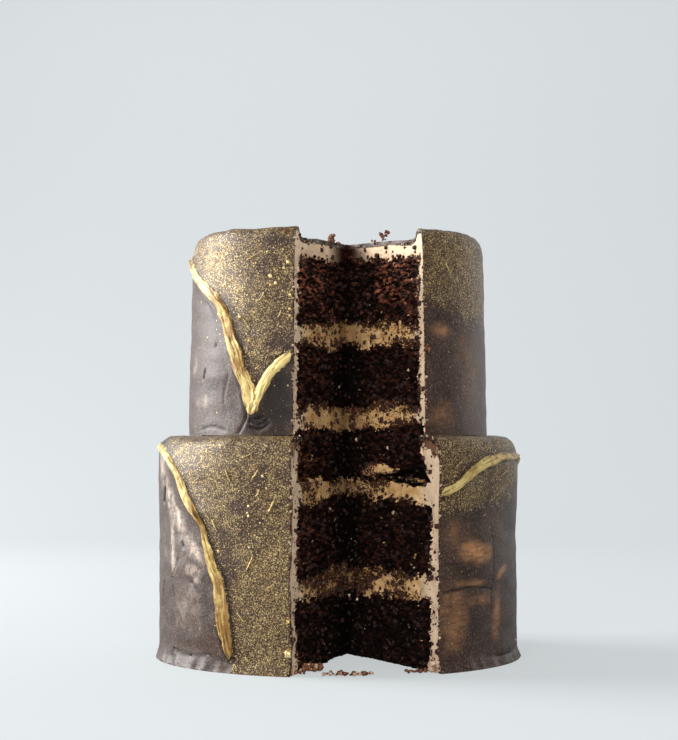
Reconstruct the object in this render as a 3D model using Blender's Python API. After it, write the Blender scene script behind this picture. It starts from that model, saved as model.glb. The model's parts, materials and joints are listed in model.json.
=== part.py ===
"""Two-tier chocolate layer cake with one slice taken out.

Five sponges are stacked with four buttercream fillings. The upper three are narrower and form the
upper tier; the lowest of them is sunk into the lower tier's buttercream. A buttercream undercoat and
a thin chocolate coat cover each tier, and gilded ridges run over the chocolate. The slice opens the
whole stack towards -Y. Metres, +Z up, origin on the tiers' axis at the foot.
"""

import math

import bmesh
import bpy
from mathutils import Vector, noise
from mathutils.geometry import tessellate_polygon

MM = 0.001
GAP = 0.30 * MM

# The missing slice: its point stands beside the axis, and each tier was cut a little differently.
# Bearings are degrees from -Y, positive towards +X.
SLICE_POINT_X = 4.2 * MM
UPPER_CUT = (30.6, 360.0 - 19.7)
LOWER_CUT = (29.0, 360.0 - 17.0)

# The top of each layer, from the foot up, in millimetres: its height at the rim, how much higher it
# is at the slice's point, and how far it leans up towards +X.
LAYER_TOPS = {
    "sponge_1": (30.2, 0.0, 0.0),
    "filling_1": (39.4, 3.4, 1.6),
    "sponge_2": (70.6, 3.8, 0.0),
    "filling_2": (81.3, 0.0, 0.0),
    "sponge_3": (105.6, -1.6, 3.6),
    "filling_3": (113.8, 1.8, 3.0),
    "sponge_4": (140.8, 2.2, 1.2),
    "filling_4": (149.8, 4.4, 0.6),
    "sponge_5": (178.4, 5.8, 0.0),
}
NARROW_LAYERS = ("sponge_3", "filling_3", "sponge_4", "filling_4", "sponge_5")
EVEN_TOPS = ("filling_2", "sponge_5")
NARROW_RADIUS = 63.4 * MM
WIDE_RADIUS = 75.0 * MM
WIDE_CENTRE_X = 2.4 * MM
SUNK_FOOT_RADIUS = 71.2 * MM
SUNK_SHOULDER = 98.6 * MM

# The outside of each tier's chocolate coat, foot first, as radius and height in millimetres.
LEDGE_HEIGHT = 101.6
LOWER_COAT_OUTSIDE = (
    (84.6, 0.0), (83.8, 2.2), (83.1, 7.0), (83.1, 26.0), (83.2, 44.0), (82.6, 60.0),
    (83.1, 74.0), (83.6, 86.0), (83.2, 92.0), (81.9, 97.4), (79.0, 100.6), (74.5, 101.7),
    (66.2, LEDGE_HEIGHT),
)
UPPER_COAT_OUTSIDE = (
    (69.3, LEDGE_HEIGHT + 0.3), (69.0, 120.0), (68.5, 140.0), (68.0, 160.0), (67.5, 177.0),
    (67.2, 185.0), (66.4, 189.0), (65.0, 191.6), (63.0, 192.4), (61.2, 191.2), (59.8, 188.8),
    (54.0, 188.2), (36.0, 189.6), (0.0, 191.0),
)
# The buttercream under the upper coat, which is hardly raised under the lip.
UPPER_CREAM_OUTSIDE = (
    (66.9, LEDGE_HEIGHT + 0.3), (66.2, 140.0), (65.0, 180.0), (64.4, 185.6), (63.0, 187.6),
    (60.6, 187.2), (57.6, 185.6), (50.0, 186.0), (36.0, 187.1), (0.0, 188.6),
)
COAT_THICKNESS = 2.0
COAT_GAP = 0.35
SHOULDER = {"upper": 189.0, "lower": 100.6}

# Mesh fineness.
AROUND = 40
ALONG_CUT = 18
SPONGE_ROWS = 7
SHOULDER_ROW = 5
FILLING_ROWS = 3
ROUTE_STEPS = 2

# Unevenness: the layers' meeting lines, the torn crumb, the smeared cream and the spread coat.
MEETING_WANDER = 1.1 * MM
MEETING_WAVE = 21.0 * MM
CUT_SWAY = 0.7 * MM
CUT_SWAY_WAVE = 30.0 * MM
CRAG_HEIGHT = 1.5 * MM
CRAG_WAVE = 6.5 * MM
SMEAR_HEIGHT = 0.6 * MM
SMEAR_WAVE = 9.0 * MM
COAT_SWELL = 0.45 * MM
COAT_SWELL_WAVE = 34.0 * MM
EDGE_NICK = 0.35 * MM

# The slot that the knife tore under the sunken sponge, on the right cut.
SLOT_MIDDLE = 52.0 * MM
SLOT_REACH = 15.0 * MM
SLOT_DEPTH = 3.2 * MM

# The gilded ridges: bearing in degrees, height and width in millimetres along each one.
RIDGE_HEIGHT = 1.7 * MM
RIDGE_CLEARANCE = 0.70 * MM
RIDGE_SECTION = ((-0.5, 0.0), (-0.34, 0.72), (0.06, 1.0), (0.40, 0.60), (0.5, 0.0), (0.0, 0.0))
RIDGES = {
    "gilt_upper_left": [
        (-114.0, 186.0, 2.4), (-94.0, 184.5, 3.2), (-75.0, 178.8, 3.6), (-60.5, 168.8, 3.8),
        (-51.0, 161.0, 3.6), (-46.0, 153.5, 3.4), (-42.3, 144.0, 3.4), (-39.0, 135.0, 3.8),
        (-36.0, 127.0, 4.6), (-33.4, 120.0, 5.4), (-32.0, 112.6, 5.6),
    ],
    "gilt_upper_fork": [
        (-32.6, 111.6, 4.0), (-30.0, 117.2, 4.4), (-27.6, 124.0, 4.4), (-24.4, 129.1, 4.2),
        (-20.9, 133.8, 4.2), (-17.2, 137.4, 3.8),
    ],
    "gilt_lower_left": [
        (-101.0, 95.0, 2.6), (-88.0, 97.2, 3.2), (-76.0, 96.8, 3.6), (-60.8, 88.7, 3.4),
        (-52.0, 77.0, 2.8), (-45.0, 66.0, 2.4), (-41.8, 55.0, 2.6), (-39.6, 44.7, 3.4),
        (-36.6, 38.0, 4.8), (-35.0, 28.0, 5.8), (-34.2, 17.0, 5.2), (-33.1, 6.0, 2.4),
    ],
    "gilt_lower_right": [
        (32.3, 77.2, 3.6), (38.6, 82.2, 4.2), (42.6, 86.4, 4.2), (50.0, 90.8, 4.0),
        (58.0, 92.6, 3.8), (70.0, 92.8, 3.6), (84.0, 91.6, 3.4), (99.0, 87.0, 3.6),
        (112.0, 78.0, 4.4), (124.0, 66.0, 4.8), (134.0, 57.0, 3.0),
    ],
    "gilt_upper_back": [
        (112.0, 184.5, 2.8), (121.0, 172.0, 4.0), (127.0, 157.0, 4.8), (140.0, 147.0, 4.2),
        (153.0, 141.0, 5.4), (160.0, 126.0, 4.6), (163.0, 108.0, 3.0),
    ],
    "gilt_lower_back": [
        (-168.0, 13.0, 3.0), (-165.0, 34.0, 5.0), (-158.0, 52.0, 4.4), (-147.0, 66.0, 5.4),
        (-140.0, 82.0, 4.6), (-132.0, 96.0, 3.2),
    ],
}

COLOURS = {
    "sponge": (0.030, 0.010, 0.006, 1.0),
    "buttercream": (0.52, 0.30, 0.165, 1.0),
    "chocolate": (0.105, 0.070, 0.058, 1.0),
    "gilt": (0.78, 0.53, 0.16, 1.0),
}
ROUGHNESS = {"sponge": 0.9, "buttercream": 0.6, "chocolate": 0.55, "gilt": 0.3}


def material(kind):
    """The plain finish of one kind of piece."""
    made = bpy.data.materials.get(kind) or bpy.data.materials.new(kind)
    made.use_nodes = True
    shader = made.node_tree.nodes["Principled BSDF"]
    shader.inputs["Base Color"].default_value = COLOURS[kind]
    shader.inputs["Roughness"].default_value = ROUGHNESS[kind]
    shader.inputs["Metallic"].default_value = 1.0 if kind == "gilt" else 0.0
    made.diffuse_color = COLOURS[kind]
    return made


def add_object(name, kind, corners, faces):
    """One named solid from its corners and faces, facing outwards."""
    mesh = bpy.data.meshes.new(name)
    mesh.from_pydata([tuple(c) for c in corners], [], faces)
    work = bmesh.new()
    work.from_mesh(mesh)
    bmesh.ops.recalc_face_normals(work, faces=work.faces)
    bmesh.ops.triangulate(work, faces=work.faces)
    if work.calc_volume(signed=True) < 0:
        bmesh.ops.reverse_faces(work, faces=work.faces)
    work.to_mesh(mesh)
    work.free()
    mesh.shade_smooth()
    mesh.set_sharp_from_angle(angle=math.radians(35))
    mesh.materials.append(material(kind))
    made = bpy.data.objects.new(name, mesh)
    bpy.context.scene.collection.objects.link(made)
    return made


def wander(x, y, z, wave):
    """A smooth value between about -1 and 1 that changes over the given wavelength."""
    return 1.6 * noise.noise(Vector((x, y, z)) / wave)


def bearings(cut):
    """The evenly spaced bearings, in radians, from the slice's right side round to its left."""
    first, last = (math.radians(degrees) for degrees in cut)
    return [first + (last - first) * i / AROUND for i in range(AROUND + 1)]


def reach(bearing, radius, centre_x=0.0):
    """How far it is from the slice's point to a circle about (centre_x, 0), along a bearing."""
    aside = SLICE_POINT_X - centre_x
    along = aside * math.sin(bearing)
    return math.sqrt(along * along - aside * aside + radius * radius) - along


def plan_point(bearing, distance):
    """The plan position at a distance from the slice's point."""
    return Vector((SLICE_POINT_X + distance * math.sin(bearing), -distance * math.cos(bearing)))


def void_side(bearing, at_start):
    """The unit vector square to a cut that points into the missing slice."""
    tangent = Vector((math.cos(bearing), math.sin(bearing)))
    return -tangent if at_start else tangent


def layer_top(name, x, y, share):
    """The height of a layer's top at a share of the way from the slice's point to the rim."""
    rim, rise, lean = (size * MM for size in LAYER_TOPS[name])
    height = rim + rise * (1.0 - share) + lean * x / NARROW_RADIUS
    if name in EVEN_TOPS:
        return height
    return height + MEETING_WANDER * wander(x, y, rim * 5.0, MEETING_WAVE)


def cut_sway(distance, height, at_start):
    """How far the knife strayed from the flat, the same for every layer that it passed."""
    side = 0.3 if at_start else 0.9
    fade = min(1.0, distance / (12.0 * MM))
    return CUT_SWAY * fade * wander(distance, side, height, CUT_SWAY_WAVE)


def torn_relief(name, distance, share, height, at_start):
    """How far the crumb or the smeared cream stands out of the cut."""
    is_sponge = name.startswith("sponge")
    rough, wave = (CRAG_HEIGHT, CRAG_WAVE) if is_sponge else (SMEAR_HEIGHT, SMEAR_WAVE)
    inner = min(1.0, 4.0 * share * (1.0 - share)) * min(1.0, distance / (6.0 * MM))
    relief = rough * inner * wander(distance, float(at_start), height, wave)
    if name == "sponge_3" and at_start and 0.0 < share < 0.3:
        off_middle = (distance - SLOT_MIDDLE) / SLOT_REACH
        relief -= SLOT_DEPTH * max(0.0, 1.0 - off_middle * off_middle)
    return relief


def layer_columns(name):
    """The upright lines of a layer's wall: each maps a row to its corner.

    They run out along the right cut, round the rim and back in along the left cut. The first stands
    at the slice's point. A line on the rim has only the rows where the wall bends.
    """
    order = list(LAYER_TOPS)
    below = order[order.index(name) - 1] if name != order[0] else None
    sunk = name == "sponge_3"
    rows = SPONGE_ROWS if name.startswith("sponge") else FILLING_ROWS
    bends = (0, SHOULDER_ROW, rows) if sunk else (0, rows)
    top_radius = NARROW_RADIUS if name in NARROW_LAYERS else WIDE_RADIUS
    foot_radius = SUNK_FOOT_RADIUS if sunk else top_radius
    centre_x = 0.0 if name in NARROW_LAYERS else WIDE_CENTRE_X
    spokes = bearings(UPPER_CUT if name in NARROW_LAYERS else LOWER_CUT)

    def corner(bearing, share, row, at_start):
        """The corner of one row, at a share of the way from the slice's point to the rim."""
        up = row / rows
        tuck = min(1.0, row / SHOULDER_ROW) if sunk else 1.0
        radius = foot_radius + (top_radius - foot_radius) * tuck
        distance = share * reach(bearing, radius, centre_x)
        flat = plan_point(bearing, distance)
        low = layer_top(below, flat.x, flat.y, share) + GAP / 2 if below else 0.0
        high = layer_top(name, flat.x, flat.y, share) - GAP / 2
        if not sunk:
            height = low + (high - low) * up
        elif row <= SHOULDER_ROW:
            height = low + (SUNK_SHOULDER - low) * tuck
        else:
            height = SUNK_SHOULDER + (high - SUNK_SHOULDER) * (row - SHOULDER_ROW) / (rows - SHOULDER_ROW)
        if at_start is not None:
            stray = cut_sway(distance, height, at_start)
            stray += torn_relief(name, distance, up, height, at_start)
            flat = flat + void_side(bearing, at_start) * stray
        return Vector((flat.x, flat.y, height))

    every_row = range(rows + 1)
    shares = [i / ALONG_CUT for i in range(1, ALONG_CUT + 1)]
    columns = [{row: corner(spokes[0], 0.0, row, None) for row in every_row}]
    columns += [{row: corner(spokes[0], s, row, True) for row in every_row} for s in shares]
    columns += [{row: corner(spoke, 1.0, row, None) for row in bends} for spoke in spokes[1:-1]]
    columns += [{row: corner(spokes[-1], s, row, False) for row in every_row} for s in reversed(shares)]
    return columns


def wall_faces(here, there):
    """The faces between two neighbouring upright lines, which may differ in their rows."""
    faces = []
    common = sorted(set(here) & set(there))
    for low, high in zip(common, common[1:]):
        up = [here[row] for row in sorted(here) if low <= row <= high]
        down = [there[row] for row in sorted(there, reverse=True) if low <= row <= high]
        faces.append(tuple(up + down))
    return faces


def cap_faces(ring, corners):
    """A fan from the slice's point over a layer's top or foot, with the wavy cuts in its end blades."""
    point = ring[0]
    first_rim, last_rim = ALONG_CUT + 1, len(ring) - ALONG_CUT - 1
    blades = [ring[: first_rim + 1], [point] + ring[last_rim:]]
    faces = [(point, ring[i], ring[i + 1]) for i in range(first_rim, last_rim)]
    for blade in blades:
        flat = [Vector((corners[i].x, corners[i].y, 0.0)) for i in blade]
        faces += [tuple(blade[k] for k in triangle) for triangle in tessellate_polygon([flat])]
    return faces


def layer(name):
    """A sponge or a filling: a disc with the slice missing and torn or smeared cut faces."""
    corners, numbered = [], []
    for column in layer_columns(name):
        numbered.append({row: len(corners) + k for k, row in enumerate(column)})
        corners.extend(column.values())
    faces = []
    for here, there in zip(numbered, numbered[1:] + numbered[:1]):
        faces += wall_faces(here, there)
    top = max(numbered[0])
    faces += cap_faces([column[0] for column in numbered], corners)
    faces += cap_faces([column[top] for column in numbered], corners)
    return add_object(name, "sponge" if name.startswith("sponge") else "buttercream", corners, faces)


def turned_shell(name, kind, cut, profile, place):
    """A solid swept round the slice's point from one cut to the other.

    The profile is a closed line of (radius in mm, height in mm, whether it is the outer skin). A
    radius of zero stands for the slice's point. place(flat, height, outer, spoke, side) gives a
    corner; side is True on the right cut, False on the left one and None between them.
    """
    spokes = bearings(cut)
    corners, rings, shared = [], [], {}
    for number, spoke in enumerate(spokes):
        side = {0: True, AROUND: False}.get(number)
        ring = []
        for radius, height, outer in profile:
            if radius == 0.0:
                if height not in shared:
                    shared[height] = len(corners)
                    corners.append(Vector((SLICE_POINT_X, 0.0, height * MM)))
                ring.append(shared[height])
                continue
            flat = plan_point(spoke, reach(spoke, radius * MM))
            ring.append(len(corners))
            corners.append(place(flat, height * MM, outer, spoke, side))
        rings.append(ring)
    faces = []
    count = len(profile)
    for here, there in zip(rings, rings[1:]):
        for j in range(count):
            k = (j + 1) % count
            loop = tuple(dict.fromkeys((here[j], there[j], there[k], here[k])))
            if len(loop) > 2:
                faces.append(loop)
    flat_profile = [Vector((radius, height, 0.0)) for radius, height, _ in profile]
    for triangle in tessellate_polygon([flat_profile]):
        faces.append(tuple(rings[0][k] for k in triangle))
        faces.append(tuple(rings[-1][k] for k in triangle))
    return add_object(name, kind, corners, faces)


def coat_swell(x, y, z):
    """How far the spread chocolate stands off its even outline."""
    return COAT_SWELL * wander(x, y, z * 1.3, COAT_SWELL_WAVE)


def nicked(flat, height, outer, spoke, side):
    """A corner, moved square to the cut where it lies on one."""
    if side is not None:
        distance = (flat - plan_point(0.0, 0.0)).length
        stray = cut_sway(distance, height, side)
        stray += EDGE_NICK * wander(flat.x, flat.y, height, CRAG_WAVE)
        flat = flat + void_side(spoke, side) * stray
    return Vector((flat.x, flat.y, height))


def swollen(flat, height, outer, spoke, side):
    """A corner of a chocolate coat, whose outer skin is uneven above its foot."""
    if outer and height > 0.0:
        flat = flat + flat.normalized() * coat_swell(flat.x, flat.y, height)
    return nicked(flat, height, outer, spoke, side)


def offset_line(outside, depth):
    """The line that runs a given depth inside an outside line, point for point."""
    made = []
    for i, (radius, height) in enumerate(outside):
        before = outside[max(i - 1, 0)]
        after = outside[min(i + 1, len(outside) - 1)]
        run = Vector((after[0] - before[0], after[1] - before[1])).normalized()
        made.append((radius - run.y * depth, height + run.x * depth))
    return made


def lower_wall_inside(depth):
    """The inner line of the lower coat's wall and ledge at a depth, from above the flared foot up."""
    return [(r, z) for r, z in offset_line(LOWER_COAT_OUTSIDE, depth) if z > 6.0]


def lower_coat():
    """The lower tier's chocolate: a thin wall, a rounded rim and the ledge."""
    inside = lower_wall_inside(COAT_THICKNESS)
    neck = LOWER_COAT_OUTSIDE[-1][0]
    profile = [(r, z, True) for r, z in LOWER_COAT_OUTSIDE]
    profile += [(neck, inside[-1][1], False)]
    profile += [(r, z, False) for r, z in reversed(inside[:-1])]
    profile += [(inside[0][0], 0.0, False)]
    return turned_shell("chocolate_lower", "chocolate", LOWER_CUT, profile, swollen)


def upper_coat():
    """The upper tier's chocolate: a thin wall, a raised lip and a shallow dish inside it."""
    outset = offset_line(UPPER_CREAM_OUTSIDE, -COAT_GAP)
    foot = UPPER_COAT_OUTSIDE[0][1]
    profile = [(r, z, True) for r, z in UPPER_COAT_OUTSIDE]
    profile += [(0.0, UPPER_CREAM_OUTSIDE[-1][1] + COAT_GAP, False)]
    profile += [(r, z, False) for r, z in reversed(outset[1:-1])]
    profile += [(outset[0][0], foot, False)]
    return turned_shell("chocolate_upper", "chocolate", UPPER_CUT, profile, swollen)


def upper_cream():
    """The buttercream under the upper tier's chocolate: a wall and a lid over the top sponge."""
    foot = UPPER_CREAM_OUTSIDE[0][1]
    inner = (NARROW_RADIUS + GAP) / MM
    rim, rise, _ = LAYER_TOPS["sponge_5"]
    clear = GAP / MM
    profile = [(r, z, False) for r, z in UPPER_CREAM_OUTSIDE]
    profile += [(0.0, rim + rise + clear, False), (inner, rim + clear, False), (inner, foot, False)]
    return turned_shell("cream_upper", "buttercream", UPPER_CUT, profile, nicked)


def lower_cream():
    """The buttercream under the lower tier's chocolate, thick round the sunken sponge."""
    wall = lower_wall_inside(COAT_THICKNESS + COAT_GAP)
    clear = GAP / MM
    shelf = LAYER_TOPS["filling_2"][0] + clear
    neck = NARROW_RADIUS / MM + 2 * clear
    collar = SUNK_FOOT_RADIUS / MM + 2 * clear
    body = WIDE_RADIUS / MM + WIDE_CENTRE_X / MM + clear
    profile = [(wall[0][0], 0.0, False)] + [(r, z, False) for r, z in wall[:-1]]
    profile += [(neck, wall[-1][1], False), (neck, SUNK_SHOULDER / MM, False)]
    profile += [(collar, shelf, False), (body, shelf, False), (body, 0.0, False)]

    def place(flat, height, outer, spoke, side):
        """Seats the inner wall round the wide layers, whose centre stands off the axis."""
        if abs(flat.length / MM - body) < 0.001:
            flat = plan_point(spoke, reach(spoke, WIDE_RADIUS + GAP, WIDE_CENTRE_X))
        return nicked(flat, height, outer, spoke, side)

    return turned_shell("cream_lower", "buttercream", LOWER_CUT, profile, place)


def coat_radius(tier, height):
    """The even outline's radius, in metres, at a height in millimetres on a tier's wall."""
    outside = UPPER_COAT_OUTSIDE if tier == "upper" else LOWER_COAT_OUTSIDE
    wall = [(z, r) for r, z in outside if z <= SHOULDER[tier]]
    wall = wall[: 1 + max(range(len(wall)), key=lambda i: wall[i][0])]
    height = min(max(height, wall[0][0]), wall[-1][0])
    for (low, near), (high, far) in zip(wall, wall[1:]):
        if height <= high:
            return MM * (near + (far - near) * (height - low) / (high - low))
    return MM * wall[-1][1]


def smooth_route(stops, steps):
    """Catmull-Rom points through the stops, each stop a tuple of numbers."""
    ends = [stops[0]] + list(stops) + [stops[-1]]
    made = []
    for a, b, c, d in zip(ends, ends[1:], ends[2:], ends[3:]):
        for k in range(steps):
            t = k / steps
            made.append(tuple(
                0.5 * (2 * q + (r - p) * t + (2 * p - 5 * q + 4 * r - s) * t**2
                       + (3 * q - p - 3 * r + s) * t**3)
                for p, q, r, s in zip(a, b, c, d)
            ))
    return made + [tuple(stops[-1])]


def ridge(name):
    """A gilded ridge: a low crest of chocolate that follows its route over a tier's wall."""
    tier = "upper" if "upper" in name else "lower"
    route = smooth_route(RIDGES[name], ROUTE_STEPS)
    unrolled = coat_radius(tier, route[0][1]) / MM
    path = [Vector((math.radians(bearing) * unrolled, height)) for bearing, height, _ in route]
    last = len(route) - 1
    count = len(RIDGE_SECTION)
    corners, faces = [], []
    for i, (_, _, width) in enumerate(route):
        run = path[min(i + 1, last)] - path[max(i - 1, 0)]
        side = Vector((run.y, -run.x)).normalized()
        taper = min(1.0, 0.4 + 0.3 * min(i, last - i))
        for offset, rise in RIDGE_SECTION:
            spot = path[i] + side * offset * width
            turn = spot.x / unrolled
            x, y = math.sin(turn), -math.cos(turn)
            radius = coat_radius(tier, spot.y)
            radius += coat_swell(x * radius, y * radius, spot.y * MM) + RIDGE_CLEARANCE
            radius += rise * taper * RIDGE_HEIGHT
            corners.append(Vector((x * radius, y * radius, spot.y * MM)))
    for i in range(last):
        here, there = i * count, (i + 1) * count
        for j in range(count):
            k = (j + 1) % count
            faces.append((here + j, here + k, there + k, there + j))
    faces.append(tuple(range(count)))
    faces.append(tuple(last * count + j for j in range(count)))
    return add_object(name, "gilt", corners, faces)


def merge(target, other):
    """Makes one solid of two that run into each other."""
    union = target.modifiers.new("Merge", "BOOLEAN")
    union.operation = "UNION"
    union.solver = "EXACT"
    union.object = other
    other.hide_render = True
    other.display_type = "WIRE"


def main():
    """Clears the scene and builds the cake from the inside out."""
    for old in list(bpy.data.objects):
        bpy.data.objects.remove(old)
    for name in LAYER_TOPS:
        layer(name)
    lower_cream()
    upper_cream()
    lower_coat()
    upper_coat()
    ridges = {name: ridge(name) for name in RIDGES}
    merge(ridges["gilt_upper_left"], ridges["gilt_upper_fork"])


main()
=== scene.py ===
"""Looks of a tiered chocolate layer cake with one slice taken out.

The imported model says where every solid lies. Here each one is replaced by a finer piece of the same
form: torn crumb, smeared buttercream, a spread chocolate coat with gold dust, and gilded ridges.
Crumbs, flakes and beads are scattered over them. Metres, +Z up, the slice opens towards -Y.
"""

import json
import logging
import math
from dataclasses import dataclass, field
from enum import Enum

import bmesh
import bpy
import numpy as np
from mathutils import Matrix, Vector, noise

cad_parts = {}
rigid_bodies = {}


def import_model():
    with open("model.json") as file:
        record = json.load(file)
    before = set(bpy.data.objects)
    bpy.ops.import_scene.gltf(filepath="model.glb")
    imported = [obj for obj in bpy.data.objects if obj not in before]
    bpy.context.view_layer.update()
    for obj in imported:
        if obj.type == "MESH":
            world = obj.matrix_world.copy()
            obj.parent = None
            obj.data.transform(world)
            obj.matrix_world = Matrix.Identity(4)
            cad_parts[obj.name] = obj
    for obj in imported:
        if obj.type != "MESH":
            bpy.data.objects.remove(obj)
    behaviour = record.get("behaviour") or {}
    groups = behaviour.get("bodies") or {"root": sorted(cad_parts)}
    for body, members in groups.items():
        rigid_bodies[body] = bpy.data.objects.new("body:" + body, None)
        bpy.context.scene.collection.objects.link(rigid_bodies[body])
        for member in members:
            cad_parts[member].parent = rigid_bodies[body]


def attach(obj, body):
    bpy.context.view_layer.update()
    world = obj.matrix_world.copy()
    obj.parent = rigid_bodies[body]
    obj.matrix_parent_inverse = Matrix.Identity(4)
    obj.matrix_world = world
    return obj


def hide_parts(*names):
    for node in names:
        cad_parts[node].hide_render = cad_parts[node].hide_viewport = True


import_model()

Array = np.ndarray
Material = bpy.types.Material
Mesh = bpy.types.Mesh
Node = bpy.types.Node
Piece = bpy.types.Object
Socket = bpy.types.NodeSocket

MM = 0.001
BODY = "root"
FLOOR_CLEARANCE = (0.5 * MM, 1.6 * MM)
LID = (178.0 * MM, 183.0 * MM)
LOG = logging.getLogger("cake")


class Side(Enum):
    """The two cuts of the missing slice."""

    RIGHT = 1
    LEFT = 0


class Mark(Enum):
    """What a patch on the chocolate coat does to its finish."""

    DUST = "dust"
    BARE = "bare"
    PALE = "pale"
    BRONZE = "bronze"
    # Painted shade on the coat's colour.
    SHADE = "shade"


def smooth(low: float, high: float, value: Array) -> Array:
    """A smooth rise from 0 at low to 1 at high."""
    share = np.clip((np.asarray(value) - low) / (high - low), 0.0, 1.0)
    return share * share * (3.0 - 2.0 * share)


def wander(points: Array, wave: float) -> Array:
    """Smooth noise at points."""
    return np.array([1.6 * noise.noise(Vector(p)) for p in (points / wave).tolist()])


def rough(points: Array, wave: float, octaves: int = 3) -> Array:
    """Fractal noise at points."""
    scaled = (points / wave).tolist()
    return np.array([noise.fractal(Vector(p), 0.9, 2.0, octaves) for p in scaled])


def clumps(points: Array, wave: float) -> Array:
    """Rounded lumps with narrow clefts between them."""
    near = np.array([noise.voronoi(Vector(p))[0][:2] for p in (points / wave).tolist()])
    return np.clip((near[:, 1] - near[:, 0]) * 1.6, 0.0, 1.0) ** 0.6


def smooth_route(stops: tuple, step: float) -> Array:
    """A Catmull-Rom curve through stops.

    Args:
        stops: rows of numbers, the first two of which are a plane position in millimetres.
        step: the largest distance between two points of the curve, in millimetres.

    Returns:
        An array with one row for each point of the curve.
    """
    rows = np.array(stops, float)
    ends = np.vstack([rows[:1], rows, rows[-1:]])
    made = []
    for a, b, c, d in zip(ends, ends[1:], ends[2:], ends[3:]):
        count = max(2, math.ceil(np.hypot(*(c - b)[:2]) / step))
        t = (np.arange(count) / count)[:, None]
        made.append(
            0.5 * (2 * b + (c - a) * t + (2 * a - 5 * b + 4 * c - d) * t**2
                   + (3 * b - a - 3 * c + d) * t**3)
        )
    return np.vstack(made + [rows[-1:]])


def outward_of(line: Array) -> Array:
    """Unit vectors square to a plane line, on its right hand, one to a row.

    Args:
        line: its points, one to a row.

    Returns:
        The vectors.
    """
    run = np.gradient(line, axis=0)
    run /= np.hypot(*run.T)[:, None]
    return np.column_stack([run[:, 1], -run[:, 0]])


def lengths_along(line: Array) -> Array:
    """The distance along a plane line to each of its points."""
    return np.r_[0.0, np.cumsum(np.hypot(*np.diff(line, axis=0).T))]


def round_about(turn: Array, radius: Array, height: Array) -> Array:
    """Corners at bearings in radians from -Y, radii and heights, one to a row."""
    x, y = np.sin(turn) * radius, -np.cos(turn) * radius
    return np.column_stack([np.ravel(x), np.ravel(y), np.ravel(height)])


@dataclass(frozen=True)
class Tier:
    """One tier: the bearings of its two cuts, in degrees from -Y, and its outside in millimetres.

    Laid out flat, bearings are measured at the unrolled radius. The wall ends at the shoulder.
    """

    right_cut: float
    left_cut: float
    unrolled: float
    shoulder: float
    outside: tuple

    def bearing(self, side: Side) -> float:
        """The bearing of one cut, in radians."""
        return math.radians(self.right_cut if side is Side.RIGHT else self.left_cut)

    def flat_route(self, stops: tuple, step: float) -> Array:
        """A smooth route laid out flat, through stops of a bearing in degrees, a height and a width."""
        return smooth_route(tuple((math.radians(b) * self.unrolled, z, w) for b, z, w in stops), step)

    def wall_radius(self, height: Array) -> Array:
        """The outside's radius at heights on the wall, in metres.

        Args:
            height: heights in metres.

        Returns:
            The radii.
        """
        wall = [(z, r) for r, z in self.outside if z <= self.shoulder]
        top = max(range(len(wall)), key=lambda i: wall[i][0])
        heights, radii = zip(*wall[: top + 1])
        return np.interp(np.asarray(height) / MM, heights, radii) * MM


@dataclass(frozen=True)
class Cake:
    """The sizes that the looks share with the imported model, in millimetres unless said."""

    point_x: float = 4.2
    narrow_radius: float = 63.4
    wide_radius: float = 75.0
    wide_centre_x: float = 2.4
    sunk_foot_radius: float = 71.2
    sunk_shoulder: float = 98.6
    ledge: float = 101.6
    coat_thickness: float = 2.0
    lower: Tier = Tier(29.0, 343.0, 83.2, 100.6, (
        (84.6, 0), (83.8, 2.2), (83.1, 7), (83.1, 26), (83.2, 44), (82.6, 60), (83.1, 74), (83.6, 86),
        (83.2, 92), (81.9, 97.4), (79, 100.6), (74.5, 101.7), (66.2, 101.6),
    ))
    upper: Tier = Tier(30.6, 340.3, 68.6, 189.0, (
        (69.3, 101.9), (69, 120), (68.5, 140), (68, 160), (67.5, 177), (67.2, 185), (66.4, 189),
        (65, 191.6), (63, 192.4), (61.2, 191.2), (59.8, 188.8), (54, 188.2), (36, 189.6), (0, 191),
    ))
    upper_cream: tuple = (
        (66.9, 101.9), (66.2, 140), (65, 180), (64.4, 185.6), (63, 187.6), (60.6, 187.2), (57.6, 185.6),
        (50, 186), (36, 187.1), (0, 188.6),
    )

    def tier(self, is_upper: bool) -> Tier:
        """One of the two tiers."""
        return self.upper if is_upper else self.lower

    def reach(self, bearing: float, radius: Array, centre_x: float = 0.0) -> Array:
        """How far it is from the slice's point to circles about (centre_x, 0).

        Args:
            bearing: the direction, in radians from -Y.
            radius: the circles' radii, in metres.
            centre_x: the circles' centre, in metres.

        Returns:
            The distances in metres.
        """
        aside = self.point_x * MM - centre_x
        along = aside * np.sin(bearing)
        return np.sqrt(np.maximum(along * along - aside * aside + radius * radius, 0.0)) - along

    def plan(self, bearing: float, distance: Array) -> tuple[Array, Array]:
        """The plan position at distances from the slice's point along a bearing."""
        return self.point_x * MM + distance * np.sin(bearing), -distance * np.cos(bearing)


CAKE = Cake()


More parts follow.
